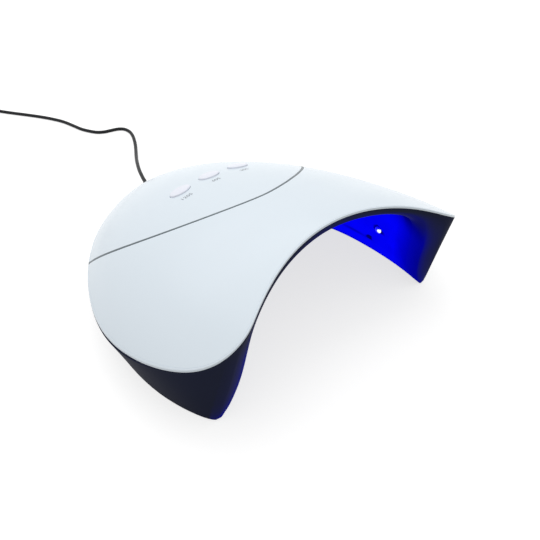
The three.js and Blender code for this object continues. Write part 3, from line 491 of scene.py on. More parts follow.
def seenBy(tree, *kinds):
    # one for camera rays and rays of these kinds
    rays = tree.nodes.new("ShaderNodeLightPath").outputs
    seen = rays["Is Camera Ray"]
    for kind in kinds:
        seen = calc(tree, "MAXIMUM", seen, rays[f"Is {kind} Ray"])
    return seen


def addGroup(name, inputs, outputs):
    # sockets by name with their start values: four numbers make a colour socket
    group = bpy.data.node_groups.new(name, "ShaderNodeTree")
    for way, sockets in (("INPUT", inputs), ("OUTPUT", outputs)):
        for label, value in sockets.items():
            kind = "NodeSocketColor" if isinstance(value, tuple) else "NodeSocketFloat"
            group.interface.new_socket(name=label, in_out=way, socket_type=kind).default_value = value
    return group, group.nodes.new("NodeGroupInput").outputs, group.nodes.new("NodeGroupOutput")


def addMaterial(name):
    material = bpy.data.materials.new(name)
    material.use_nodes = True
    return material, material.node_tree, material.node_tree.nodes["Principled BSDF"]


grainLook = {"wave": 30.0, "waveDetail": 3.0, "grainDetail": 2.0, "waveHeight": 1.6, "roughChange": 0.06,
             "bumpDepth": 0.00002}


def mouldedGroup():
    # fine grain, slow waviness and a faint change of shade, in object space
    look = grainLook
    group, given, made = addGroup(
        "mouldedSurface", {"Color": (1, 1, 1, 1), "Shade": 0.04, "Grain": 2500.0, "Roughness": 0.3},
        {"Color": (1, 1, 1, 1), "Roughness": 0.3, "Height": 0.0})
    where = group.nodes.new("ShaderNodeTexCoord").outputs["Object"]
    wave = noise(group, where, look["wave"], look["waveDetail"])
    grain = noise(group, where, given["Grain"], look["grainDetail"])
    centred = calc(group, "SUBTRACT", wave, 0.5)
    level = calc(group, "ADD", calc(group, "MULTIPLY", centred, given["Shade"]), 1.0)
    fill(group, made, {
        "Color": scaled(group, given["Color"], level),
        "Roughness": calc(group, "MULTIPLY_ADD", centred, look["roughChange"], given["Roughness"]),
        "Height": calc(group, "MULTIPLY_ADD", wave, look["waveHeight"], grain),
    })
    return group


moulded = mouldedGroup()


def plastic(name, color, rough, grain=2500.0, bump=0.02, shade=0.04, metal=0.0, gloss=0.5):
    material, tree, shader = addMaterial(name)
    surface = addNode(tree, "ShaderNodeGroup", {
        "Color": (*color, 1), "Shade": shade, "Grain": grain, "Roughness": rough}, node_tree=moulded).outputs
    relief = addNode(tree, "ShaderNodeBump", {
        "Strength": bump, "Distance": grainLook["bumpDepth"], "Height": surface["Height"]})
    fill(tree, shader, {
        "Base Color": surface["Color"], "Roughness": surface["Roughness"], "Normal": relief.outputs["Normal"],
        "Metallic": metal, "Specular IOR Level": gloss,
    })
    return material


def linear(*values):
    # display values of 0 to 255 as linear light
    v = np.asarray(values, float) / 255
    return tuple(float(q) for q in np.where(v <= 0.04045, v / 12.92, ((v + 0.055) / 1.055) ** 2.4))


finishes = {
    "shell": plastic("shellGloss", linear(228, 238, 246), 0.26, bump=0.015, shade=0.012, gloss=0.3),
    "button": plastic("buttonGloss", linear(238, 241, 251), 0.26, bump=0.015, shade=0.012, gloss=0.3),
    "strip": plastic("stripSilver", linear(96, 106, 112), 0.35, 1800.0, bump=0.05, metal=0.7, shade=0.08),
    "ink": plastic("labelInk", linear(118, 124, 134), 0.5, shade=0.1, gloss=0.2),
    "housing": plastic("housingDark", linear(42, 46, 65), 0.55, bump=0.05, shade=0.1, gloss=0.0),
    "stem": plastic("stemGrey", linear(70, 72, 78), 0.5),
    "switch": plastic("switchBlack", linear(30, 30, 33), 0.5),
    "board": plastic("boardGreen", linear(26, 92, 52), 0.4, shade=0.15),
    "steel": plastic("screwSteel", linear(176, 178, 182), 0.3, metal=1.0, bump=0.05),
    "sensor": plastic("sensorDark", linear(3, 3, 60), 0.5, gloss=0.0),
    "rubber": plastic("footRubber", linear(28, 28, 30), 0.75, 1500.0, bump=0.15, shade=0.12, gloss=0.2),
    "jacket": plastic("leadJacket", linear(17, 19, 23), 0.42, 1600.0, bump=0.08, shade=0.12, gloss=0.22),
    "plugBlack": plastic("plugBlack", linear(24, 24, 27), 0.5, 1300.0, bump=0.15, shade=0.1, gloss=0.3),
    "plugSteel": plastic("plugNickel", linear(190, 191, 194), 0.25, metal=1.0, bump=0.04),
}
print("materials made")


def coat(piece, finish):
    piece.data.materials.clear()
    piece.data.materials.append(finishes[finish])


def dress(piece, finish, body="lamp", replaced=()):
    coat(piece, finish)
    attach(piece, body)
    if replaced:
        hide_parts(*replaced)
    return piece


# Shell: dome, rounded lip, underside, button holes and the groove of the silver line


def shellSkin():
    r, low, lip, wall = shellRim["edge"], shellRim["lowEdge"], shellRim["lip"], dome["wall"]
    hub = np.array([0.0, dome["hubY"]])
    arc = np.linspace(0, math.pi / 2, shellRim["arc"] + 1)

    def ringAt(share, inset, offset=0.0, drop=0.0):
        plan = hub + (rimRing + rimInward * (shellInset + inset)[:, None] - hub) * share
        ring = domePoint(plan[:, 0], plan[:, 1], np.full(around, offset))
        ring[:, 2] += frontLift(plan[:, 0], plan[:, 1]) - drop
        return ring

    lineIn, lineOut, lineDepth = shellRim["line"]
    shares = np.linspace(0, 1, shellRim["topRows"] + 1)[1:]
    rings = [ringAt(s ** 0.9, lineIn + 0.05) for s in shares]
    rings += [ringAt(1, inset, 0, drop) for inset, drop in (
        (lineIn, 0), (lineIn - 0.04, lineDepth), (lineOut + 0.04, lineDepth), (lineOut, 0))]
    rings += [ringAt(1, r - r * math.sin(a), 0, r - r * math.cos(a)) for a in arc]
    rings += [ringAt(1, low - low * math.cos(a), 0, lip - low + low * math.sin(a)) for a in arc]
    size = float(np.abs(rimRing[:, 0]).max())
    shares = [1 - step / size for step in shellRim["lowSteps"]]
    shares += list(np.linspace(shares[-1], 0, 20)[1:-1])
    for s in shares:
        under = float(ramp((1 - s) * size, *shellRim["thin"]))
        rings.append(ringAt(s, low, -wall * under, lip * (1 - under)))
    tops = domePoint(np.zeros(2), np.full(2, dome["hubY"]), np.array([0, -wall]))
    return closedStack("shellSkin", np.stack(rings), tops, None, 0.002, ((0, 0, 70), (0, 0, 1)))


stripPlan = {
    "curve": [(0, -24.3), (21.4, -24.3), (74.4, -2.5), (74.4, 59.9)], "width": 1.25, "depth": 0.8,
    "groove": 0.07, "proud": 0.02, "past": 3.2, "edge": 0.2,
    "grooveTop": 2.0, "grooveDeeper": 0.25, "grooveEdge": 0.05,
}


def stripLine():
    # the line in plan, a little past the rim at both ends, with its sideways direction
    plan = bezier(stripPlan["curve"], np.linspace(0, 1, 161))
    length = lengthsOf(plan)
    gaps = plan[:, None] - rimRing[None]
    nearest = np.argmin((gaps ** 2).sum(-1), 1)
    inside = (gaps[np.arange(len(plan)), nearest] * rimInward[nearest]).sum(-1)
    reach = np.interp(stripPlan["past"], -inside[80:], length[80:])
    at = np.linspace(0, reach, 90)
    right = np.stack([np.interp(at, length, plan[:, 0]), np.interp(at, length, plan[:, 1])], -1)
    line = np.concatenate([right[1:][::-1] * [-1, 1], right])
    return line, leftOf(unit(np.gradient(line, axis=0)))


def stripBar(name, halfWidth, top, bottom, edge):
    # a bar with eased upper corners, laid along the line on the dome
    line, side = stripLine()
    section = rounded([(0, top), (halfWidth, top), (halfWidth, bottom), (0, bottom)], edge, 3)[1:-1]
    section = np.concatenate([section, section[::-1] * [-1, 1]])
    plan = line[:, None] + side[:, None] * section[None, :, :1]
    points = domePoint(plan[..., 0], plan[..., 1], np.broadcast_to(section[None, :, 1], plan.shape[:2]))
    rows, columns = points.shape[:2]
    ends = [list(range(columns)), list(range((rows - 1) * columns, rows * columns))]
    return weld(addPiece(name, points.reshape(-1, 3), [gridFaces(rows, columns), ends]), 0.002)


button = {
    "halfX": 6.5, "halfY": 4.5, "proud": 0.9, "crown": 0.35, "edge": 0.55, "gap": 0.22,
    "flange": 1.3, "flangeWall": 1.2, "plunger": 1.5, "plungerLow": -7.3, "sides": 72, "hole": (3.0, -6.0),
    "crownShares": (0.12, 0.3, 0.5, 0.68, 0.82, 0.9), "flangeDrop": 0.3,
}


def closedOval(name, profile, x):
    # profile rows: half size along X, half size along Y, height over the dome; each an oval ring
    angle = np.arange(button["sides"]) * 2 * math.pi / button["sides"]
    rings = np.stack([onDome(x + a * np.cos(angle), b * np.sin(angle), h) for a, b, h in profile])
    return closedStack(name, rings)


def buttonPiece(name, column):
    # crown, rounded edge, side, flange under the shell and plunger
    b = button
    halfX, halfY, flange, plunger = b["halfX"], b["halfY"], b["flange"], b["plunger"]
    crown = [(share, b["proud"] + b["crown"] * (1 - share ** 2)) for share in b["crownShares"]]
    rows = [(halfX * share, halfY * share, height) for share, height in crown]
    top = crown[-1][1]
    for a in np.linspace(0.15, 1, 6) * math.pi / 2:
        grow = b["edge"] * (math.sin(a) - 1)
        rows.append((halfX + grow, halfY + grow, top - b["edge"] * (1 - math.cos(a))))
    under = -dome["wall"] - b["flangeDrop"]
    low = under - b["flangeWall"]
    rows += [(halfX, halfY, z) for z in (0.0, under)]
    rows += [(halfX + flange, halfY + flange, z) for z in (under, low)]
    rows += [(plunger, plunger, z) for z in (low, b["plungerLow"])]
    return sharpen(closedOval(name, rows, column * controls["pitch"]))


shell = shellSkin()
cutters = [stripBar("grooveCutter", stripPlan["width"] / 2 + stripPlan["groove"], stripPlan["grooveTop"],
                    -stripPlan["depth"] - stripPlan["grooveDeeper"], stripPlan["grooveEdge"])]
for column in (-1, 0, 1):
    size = (button["halfX"] + button["gap"], button["halfY"] + button["gap"])
    rows = [(*size, height) for height in button["hole"]]
    cutters.append(closedOval("holeCutter", rows, column * controls["pitch"]))
cut(shell, cutters)
dress(sharpen(shell), "shell", replaced=["top_shell"])
print("shell", len(shell.data.polygons), "faces")

# the bar runs past the rim and is cut flush with the shell
strip = stripBar("silverLine", stripPlan["width"] / 2, stripPlan["proud"], -stripPlan["depth"],
                 stripPlan["edge"])
cut(strip, [shellSkin()], "INTERSECT")
dress(sharpen(strip), "strip", replaced=["trim_strip"])
for column, seconds in ((-1, "120"), (0, "60"), (1, "30")):
    piece = buttonPiece("button" + seconds, column)
    dress(piece, "button", "button_" + seconds, ["timer_button_" + seconds])
print("line and buttons made")

labels = {
    "size": 3.5, "lift": 0.02, "bold": 0.03, "spacing": 1.1,
    "places": [("120S", -23.4, 13.1), ("60S", -2.2, 14.0), ("30S", 17.5, 13.2)],
}


def addLabel(text, x, y):
    curve = bpy.data.curves.new("label", "FONT")
    curve.body = text
    curve.size = labels["size"]
    curve.align_x = curve.align_y = "CENTER"
    curve.space_character = labels["spacing"]
    curve.offset = labels["bold"]
    words = addObject("label", curve)
    bpy.context.view_layer.update()
    mesh = bpy.data.meshes.new_from_object(words)
    bpy.data.objects.remove(words)
    flat = pointsOf(mesh) + [x, y, 0]
    placed = domePoint(flat[:, 0], flat[:, 1], np.full(len(flat), labels["lift"])) * mm
    mesh.vertices.foreach_set("co", placed.ravel())
    dress(addObject("label" + text, mesh), "ink")


for text, x, y in labels["places"]:
    addLabel(text, x, y)
print("labels made")

# Hand cavity: the formulas of the part's source with a higher mouth, right half

cavity = {
    "front": -rim["front"], "half": 80.9, "wideY": -31.5, "reach": 84, "planPower": 2.5,
    "noseDraw": 4.1, "noseReach": 42, "noseShare": 1.2, "height": 65, "fallPower": 1.9, "rootPower": 1.8,
    "sectionPower": 9, "sectionRoot": 0.6, "rise": 6.0, "fade": 6.5, "lean": 8, "mouthLean": 5,
    "mouthLeanFade": 10, "leanHeight": 11, "sweepFade": 42, "floorSweep": 5.7, "mouthSweep": 18.5,
    "seam": 11, "mouthBack": -61.5, "liner": 1.8,
}
tipHeight = float(domeHeight(rim["tip"][0], -rim["tip"][1]))
cavityDepth = cavity["wideY"] + cavity["reach"] - cavity["front"]


def cavityHalf(y):
    # a superellipse in plan, drawn in a little towards the front
    c = cavity
    ahead = np.clip((c["wideY"] - y) / c["noseReach"], 0, c["noseShare"])
    behind = np.clip((y - c["wideY"]) / c["reach"], 0, 1)
    plan = (1 - behind ** c["planPower"]) ** (1 / c["planPower"])
    return c["half"] * plan - c["noseDraw"] * ahead ** 2


def cavityHeight(row):
    # falls to the rear along a power curve, with a rise at the mouth that fades behind it
    c = cavity
    back = np.maximum(row - c["front"], 0)
    behind = np.clip(back / cavityDepth, 0, 1)
    fall = (1 - behind ** c["fallPower"]) ** (1 / c["rootPower"])
    return c["height"] * fall + c["rise"] * np.exp(-back / c["fade"]) * (1 - behind)


def cavityLean(y):
    c = cavity
    mouth = c["mouthLean"] * np.exp(-np.maximum(y - c["front"], 0) / c["mouthLeanFade"])
    return (c["lean"] + mouth) * cavityHalf(y) / c["half"]


def cavityPoint(row, share):
    # a row follows the front edge at the mouth and straightens towards the rear
    c = cavity
    row, share = np.broadcast_arrays(np.asarray(row, float), np.asarray(share, float))
    z = cavityHeight(row) * share
    rise = np.clip(z / tipHeight, 0, 1)
    sweep = c["floorSweep"] + (c["mouthSweep"] - c["floorSweep"]) * rise
    sweep = sweep * (1 - ramp(row, c["front"], c["sweepFade"]))
    wallY = row - sweep
    half = cavityHalf(wallY) - cavityLean(wallY) * (1 - np.exp(-z / c["leanHeight"]))
    x = half * np.maximum(1 - share ** c["sectionPower"], 0) ** c["sectionRoot"]
    y = row - sweep * np.minimum(x / rim["tip"][0], 1) ** 2
    return np.stack([x, y, z], -1)


def ceilingShare(x, row):
    half = cavityHalf(row) - cavityLean(row)
    return (1 - (x / half) ** (1 / cavity["sectionRoot"])) ** (1 / cavity["sectionPower"])


def rowWithHeight(height):
    # the row at which the ceiling has come down to a height
    low, high = cavity["front"], cavity["front"] + cavityDepth
    for _ in range(50):
        middle = (low + high) / 2
        low, high = (middle, high) if cavityHeight(middle) > height else (low, middle)
    return low


# Housing: front faces, rolled mouth edge, legs, lip round the cavity and underside

housing = {
    "foot": 0.6, "round": 0.8, "footOut": 1.5, "bulge": 1.0, "gap": 0.15, "wall": 1.8,
    "legIndex": 40, "rimX": 61.4, "topZ": 46, "legColumns": 12, "archColumns": 46, "faceRows": 12,
    "edgeRows": 9, "depthRows": 5, "lipRows": 44,
    "depthAt": ((0.6, 0.8), (13, 2.6), (45, 2), (60, 2.4)), "legFaceShare": 0.5, "archFace": 2.2, "rise": 1.5,
    "lipRound": 0.8, "lipFade": (2, 20), "nose": 0.6, "noseFade": 6, "cornerPull": 4.0,
    "footFrom": (0, 50), "bulgeFrom": (50, 30), "legFrom": (40, 22),
}
footAt = housing["foot"] + housing["round"]
footRing = footRing - footInward * (housing["footOut"] * ramp(-footRing[:, 1], *housing["footFrom"]))[:, None]
wallPlan = rimRing + rimInward * (shellRim["wallInset"] * tipShare)[:, None]
bulge = housing["bulge"] * ramp(rimAhead, *housing["bulgeFrom"])
wallTop = np.stack([
    wallPlan[:, 0], wallPlan[:, 1],
    domeHeight(*wallPlan.T) + frontLift(*wallPlan.T) - shellRim["lip"] - housing["gap"],
], -1)


def ringAt(values, index):
    # values of a closed row at fractional places
    return np.interp(np.mod(index, around), np.arange(around + 1), np.append(values, values[0]))


def quarterPull(height, radius):
    # how far a quarter circle at the foot draws a wall in
    down = np.clip(housing["foot"] + radius - height, 0, radius)
    return radius - np.sqrt(np.maximum(radius ** 2 - down ** 2, 0))


def wallPoint(index, height):
    # from the foot line to the shell's edge, a little convex at the legs and drawn in at the foot
    topX, topY, topZ = (ringAt(wallTop[:, k], index) for k in range(3))
    footX, footY = (ringAt(footRing[:, k], index) for k in range(2))
    inX, inY = (ringAt(footInward[:, k], index) for k in range(2))
    share = (height - footAt) / (topZ - footAt)
    pull = quarterPull(height, housing["round"])
    pull = pull - 4 * ringAt(bulge, index) * np.clip(share * (1 - share), 0, 1)
    x = footX + (topX - footX) * share + inX * pull
    y = footY + (topY - footY) * share + inY * pull
    return np.stack([x, y, height + 0 * x], -1)


def topOf(index):
    return ringAt(wallTop[:, 2], index)


def faceAt(index, share):
    # the wall at a share of the way from the foot to the shell's edge
    low = housing["foot"]
    return wallPoint(index, low + (topOf(index) - low) * share)


def mouthIndex(points):
    # where on the front the cavity's edge lies: bisected until the x agrees
    low, high = np.zeros(len(points)), np.full(len(points), 38.0)
    height = np.maximum(points[:, 2], footAt)
    for _ in range(40):
        middle = (low + high) / 2
        far = wallPoint(middle, height)[:, 0] > points[:, 0]
        low, high = np.where(far, low, middle), np.where(far, middle, high)
    return (low + high) / 2


def columnSpread():
    # columns of the cavity: by height up to the seam, then evenly along the mouth's edge
    low, high = housing["legColumns"], housing["archColumns"]
    dense = np.linspace(cavity["seam"] / float(cavityHeight(cavity["front"])), 1, 600)
    curve = cavityPoint(cavity["front"], dense)
    length = lengthsOf(curve)
    even = np.interp(np.linspace(0, length[-1], high + 1), length, dense)
    spread = (even - even[0]) / (1 - even[0])
    rise = np.minimum(np.arange(low + high + 1) / low, 1) ** housing["rise"]
    return rise, np.concatenate([np.zeros(low), spread])


rise, spread = columnSpread()


def columnShares(row, foot, seam):
    # share of the cavity's height at which each column crosses a row
    height = cavityHeight(row)
    low = (foot + (np.minimum(seam, height) - foot) * rise) / height
    start = np.minimum(seam / height, 1)
    return np.where(rise < 1, low, start + (1 - start) * spread)


def setGlowAndPaintedLight(piece, values):
    # how much of the lamp's blue light each point shows: painted light on the liner and the housing, the
    # lamp's own glow on the lenses
    layer = piece.data.attributes.new("glowAndPaintedLight", "FLOAT", "POINT")
    layer.data.foreach_set("value", np.asarray(values, np.float32).ravel())
    return piece


def addGrids(name, grids, paintedLights):
    # right-hand grids and their mirror images as one mesh
    points, faces, values, first = [], [], [], 0
    for grid, glowAndPaintedLight in zip(grids, paintedLights):
        for side in (1, -1):
            rows, columns = grid.shape[:2]
            points.append((grid * [side, 1, 1]).reshape(-1, 3))
            values.append(np.broadcast_to(glowAndPaintedLight, (rows, columns)).ravel())
            cells = gridFaces(rows, columns, False, first)
            faces.append(cells if side > 0 else cells[:, ::-1])
            first += rows * columns
    return setGlowAndPaintedLight(addPiece(name, np.concatenate(points), faces), np.concatenate(values))


# painted blue light of the lamps on the cavity's walls, the rolled edge and the housing's front
blueLight = {"edge": 0.24, "reach": 14.5, "most": 0.9, "legSpill": 4.0, "archSpill": 2.4, "floorFade": 3.5,
             "top": (36, 17), "topLoss": 0.68, "atFloor": 0.45}


def topShare(height):
    # how much of the painted light reaches a height: less towards the top of the wall
    return 1 - blueLight["topLoss"] * ramp(height, *blueLight["top"])


def paintedLightInside(depth, height):
    # painted light that grows with the depth behind the mouth's edge and weakens just over the floor and
    # towards the top
    b = blueLight
    level = np.minimum(b["edge"] * np.exp(depth / b["reach"]), b["most"])
    low = b["atFloor"] + (1 - b["atFloor"]) * ramp(height, housing["foot"], b["floorFade"])
    return level * topShare(height) * low


def lipPoint(row):
    # the cavity wall with its lower edge rounded, but not at the legs' tips
    points = cavityPoint(row, columnShares(row, housing["foot"], cavity["seam"]))
    behind = ramp(row - cavity["front"], *housing["lipFade"])
    aside = np.minimum(points[..., 0] / 20, 1)
    points[..., 0] += quarterPull(points[..., 2], housing["lipRound"]) * behind * aside
    return points


def housingGrids():
    h = housing
    front = np.full(len(rise), cavity["front"])
    edge = cavityPoint(front, columnShares(front, h["foot"], cavity["seam"]))
    mouth = mouthIndex(edge)
    height = edge[:, 2]
    corner = wallPoint(mouth, height)

    # the outer path: up the corner of the leg, then along the shell's edge to the middle
    legPart = height <= h["topZ"]
    outerIndex = h["legIndex"] * np.where(legPart, 1, np.minimum(edge[:, 0] / h["rimX"], 1))
    outerShare = np.minimum((height - h["foot"]) / (h["topZ"] - h["foot"]), 1)
    lastLeg = int(np.nonzero(legPart)[0][-1])
    outerShare[lastLeg:] = 1
    outer = faceAt(outerIndex, outerShare)

    # front face from the rolled edge to that path
    legWeight = ramp(edge[:, 0], *h["legFrom"])
    depth = np.interp(height, *zip(*h["depthAt"]))
    reach = np.linalg.norm(outer - corner, axis=1)
    archShare = np.minimum(h["archFace"], 0.65 * reach) / reach
    start = archShare + (h["legFaceShare"] - archShare) * legWeight
    t = start + (1 - start) * np.linspace(0, 1, h["faceRows"] + 1)[:, None]
    cornerShare = (height - h["foot"]) / (topOf(mouth) - h["foot"])
    frontFace = faceAt(mouth + (outerIndex - mouth) * t, cornerShare + (outerShare - cornerShare) * t)

    # rolled edge: a rational quadratic curve from the cavity wall over the corner to the front face
    inside = cavity["front"] + depth
    wall = lipPoint(inside)
    q = np.linspace(0, 1, h["edgeRows"] + 1)[:, None, None]
    pulls = [(1 - q) ** 2, 2 * q * (1 - q) * h["cornerPull"], q ** 2]
    roll = sum(pull * p for pull, p in zip(pulls, (wall, corner, frontFace[0]))) / sum(pulls)

    # cavity wall behind the edge, then the lip along the foot of the cavity
    rows = inside + (cavity["mouthBack"] - inside) * np.linspace(0, 1, h["depthRows"] + 1)[:, None]
    behind = lipPoint(rows)
    seamRow, endRow = rowWithHeight(cavity["seam"]), rowWithHeight(h["foot"])
    lipRows = np.concatenate([
        np.linspace(cavity["mouthBack"], seamRow, h["lipRows"])[:-1],
        seamRow + (endRow - seamRow) * np.sin(np.linspace(0, math.pi / 2, 12)),
    ])[:, None]
    lip = lipPoint(lipRows)[:, :h["legColumns"] + 1]

    # legs' outsides and the rear
    index = np.arange(h["legIndex"], rearIndex + 1, dtype=float)
    share = outerShare[:lastLeg + 1, None]
    outside = faceAt(index + 0 * share, share)

    # the painted light's share on each grid; outside the edge it fades with the distance from it
    def outward(points):
        fade = blueLight["archSpill"] + (blueLight["legSpill"] - blueLight["archSpill"]) * legWeight
        level = blueLight["edge"] * np.exp(-np.linalg.norm(points - corner, axis=-1) / fade)
        return level * topShare(points[..., 2])

    turned = np.broadcast_to(smoothStep(q[..., 0] * 2.2 - 0.3), roll.shape[:2])
    rollPaintedLight = (1 - turned) * paintedLightInside((1 - q[..., 0]) * depth, roll[..., 2]) + turned * outward(roll)
    paintedLights = [rollPaintedLight, outward(frontFace), paintedLightInside(rows - cavity["front"], behind[..., 2]),
             paintedLightInside(lipRows - cavity["front"], lip[..., 2]), 0]
    return [roll, frontFace, behind, lip, outside], paintedLights


def closeUnderside(piece):
    work = bmesh.new()
    work.from_mesh(piece.data)
    low = (housing["foot"] + 0.01) * mm
    edges = [edge for edge in work.edges if edge.is_boundary and max(v.co.z for v in edge.verts) < low]
    made = bmesh.ops.edgeloop_fill(work, edges=edges)["faces"]
    bmesh.ops.triangulate(work, faces=made)
    work.to_mesh(piece.data)
    work.free()
    return piece


def roundNoses(piece):
    # the legs' tips rise from the floor in a quarter circle towards their front end
    p = pointsOf(piece.data) / mm
    radius = housing["nose"]
    ahead = np.clip(radius - (p[:, 1] - p[p[:, 2] < footAt, 1].min()), 0, radius)
    lift = radius - np.sqrt(radius ** 2 - ahead ** 2)
    p[:, 2] += lift * (1 - ramp(p[:, 2], housing["foot"], housing["noseFade"]))
    piece.data.vertices.foreach_set("co", (p * mm).ravel())
    piece.data.update()


def thicken(piece, wall):
    step = piece.modifiers.new("wall", "SOLIDIFY")
    step.thickness = wall * mm
    step.offset = -1
    settle(piece)


def boxOf(node):
    # a CAD node's lowest and highest corners, in millimetres
    low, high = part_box(node)
    return np.array(low) / mm, np.array(high) / mm


def floorPlace(node):
    # the place on the floor under a CAD node's middle
    low, high = boxOf(node)
    return Matrix.Translation((*((low + high) / 2)[:2], 0))


def easedSections(halfX, halfY, corner, low, high, edgeLow, edgeHigh):
    # a block's sections with its lower and upper edges rounded
    turn = np.linspace(0, math.pi / 2, 5)
    rows = [(edgeLow * (1 - math.sin(a)), low + edgeLow * (1 - math.cos(a))) for a in turn]
    rows += [(edgeHigh * (1 - math.cos(a)), high - edgeHigh * (1 - math.sin(a))) for a in turn]
    return [(halfX - inset, halfY - inset, max(corner - inset, 0.05), z) for inset, z in rows]


def padPlan(i, grow, corner):
    # half sizes and corner radius of a foot pad; the first two are oblong, the others round
    low, high = boxOf(f"foot_pad_{i}")
    half = (high - low)[:2] / 2 + grow
    return (*half, corner if i < 3 else half[0] - 0.01)


underside = {
    "post": 4.0, "postLow": 1.2, "postTop": 6.5, "recess": 3.2, "recessTop": 3.4, "bore": 1.55,
    "padTop": 1.7, "padGap": 0.3, "padCorner": 0.9, "reliefHole": 3.3, "reliefZ": 10, "past": 5, "boreTop": 9,
    "reliefFrom": 60, "reliefTo": 110,
}
# the frame of the lead's outlet, whose Z runs to the rear
rearward = toMatrix((0, 0, underside["reliefZ"]), (1, 0, 0), (0, 0, -1), (0, 1, 0))


def finishHousing():
    # walls and underside, then posts, screw recesses, bores, pad recesses and the lead's hole
    u = underside
    piece = weld(addGrids("housing", *housingGrids()), 0.006)
    closeUnderside(piece)
    weld(piece, 0.006, ((0, rim["rear"], 10), (0, 1, 0)))
    roundNoses(piece)
    thicken(piece, housing["wall"])
    spots = [floorPlace(f"housing_screw_{i}") for i in range(1, 5)]
    cut(piece, [rod("post", u["post"], u["postLow"], u["postTop"], spot) for spot in spots], "UNION")
    cutters = [rod("recess", u["recess"], -u["past"], u["recessTop"], spot) for spot in spots]
    cutters += [rod("bore", u["bore"], 0, u["boreTop"], spot) for spot in spots]
    for i in range(1, 5):
        plan = padPlan(i, u["padGap"], u["padCorner"])
        cutters.append(straight("padRecess", plan, -u["past"], u["padTop"], floorPlace(f"foot_pad_{i}")))
    cutters.append(rod("reliefHole", u["reliefHole"], u["reliefFrom"], u["reliefTo"], rearward))
    cut(piece, cutters)
    return sharpen(piece, 40)


base = dress(finishHousing(), "housing", replaced=["lower_housing"])
print("housing", len(base.data.polygons), "faces")

# Liner with its openings, the lights and the hand sensors

lights = {
    "rows": (-41.1, -19, 2), "sideZ": 23.3, "ceilingX": 20, "radius": 2.3, "proud": 1.0,
    "chip": 1.5, "chipShift": -1.5, "chipTall": 0.8, "chipEdge": 0.4, "lensRim": 0.3, "holeReach": 5,
    "lightHole": 2.28, "lightGlow": 0.85, "sensorHole": 1.33, "sensorGlow": 0.4,
    "sensorRow": -35.1, "sensorZ": 13.5, "sensorRadius": 1.35, "sensorProud": 0.8, "sensorBack": 2.9,
}


def wallFrame(side, row, share):
    # a place on the cavity wall whose Z points out of the cavity
    step = 0.01
    turned = np.array([side, 1, 1])
    here = cavityPoint(row, share) * turned
    along = cavityPoint(row + step, share) * turned - here
    up = cavityPoint(row, share - step / cavity["height"]) * turned - here
    normal = unit(np.cross(along, up))
    normal = normal if normal[0] * side > 0 else -normal
    across = unit(np.cross(normal, unit(along)))
    return toMatrix(here.tolist(), np.cross(across, normal).tolist(), across.tolist(), normal.tolist())


lightFrames = []
for row in lights["rows"]:
    for side in (-1, 1):
        lightFrames.append(wallFrame(side, row, lights["sideZ"] / cavityHeight(row)))
        lightFrames.append(wallFrame(side, row, ceilingShare(lights["ceilingX"], row)))
sensorShare = lights["sensorZ"] / cavityHeight(lights["sensorRow"])
sensorFrames = [wallFrame(side, lights["sensorRow"], sensorShare) for side in (-1, 1)]

linerPlan = {"front": -61.2, "seam": 11.3, "rows": 70}


def linerGrid():
    p = linerPlan
    end = rowWithHeight(p["seam"])
    t = np.linspace(0, 1, p["rows"])
    rows = (p["front"] + (end - p["front"]) * np.sin(t * math.pi / 2) ** 0.9)[:, None]
    grid = cavityPoint(rows, columnShares(rows, p["seam"], p["seam"])[:, housing["legColumns"]:])
    return [grid], [paintedLightInside(rows - cavity["front"], grid[..., 2])]


def finishLiner():
    # the holes' walls take the painted blue light that the wall round them has
    piece = weld(addGrids("liner", *linerGrid()), 0.006, ((70, -20, 30), (-1, 0, 0)))
    thicken(piece, cavity["liner"])
    cutters = []
    for kind, frames in (("light", lightFrames), ("sensor", sensorFrames)):
        for place in frames:
            cutter = rod("hole", lights[kind + "Hole"], -lights["holeReach"], lights["holeReach"], place)
            cutters.append(setGlowAndPaintedLight(cutter, np.full(len(cutter.data.vertices), lights[kind + "Glow"])))
    cut(piece, cutters)
    return sharpen(piece, 40)


def lens(name, radius, proud, back, place):
    turn = np.linspace(0, math.pi / 2, 12)
    rim = lights["lensRim"] * proud
    cap = [(radius * math.sin(a), -rim - (proud - rim) * math.cos(a)) for a in turn]
    return lathe(name, cap + [(radius, back), (0, back)], place, 40)


def lightChip(piece, place):
    # a bright disc seen through the lens, a little towards the mouth
    local = (pointsOf(piece.data) / mm - np.array(place.translation)) @ np.array(place.to_3x3())
    away = np.hypot(local[:, 0] - lights["chipShift"], local[:, 1] / lights["chipTall"])
    edge = lights["chipEdge"]
    setGlowAndPaintedLight(piece, ramp(lights["chip"] + edge / 2, away, edge) * (local[:, 2] < 0.2))


# look of the painted blue light of the lamps, and of the painted highlight towards the housing's outline
paintedBlueLook = {
    "color": (0.0006, 0.0003, 1, 1), "mottle": 0.3, "mottleScale": 85.0, "streak": 0.45,
    "streakAt": {"Z": (0.0118, 0.0013), "Y": (-0.023, 0.011)},
    "darken": {"From Min": 0.02, "From Max": 0.25, "To Min": 1.0, "To Max": 0.12},
    "spill": 0.08, "rimPower": 7, "rimHighlight": {"liner": 0.0, "housing": 0.16},
}


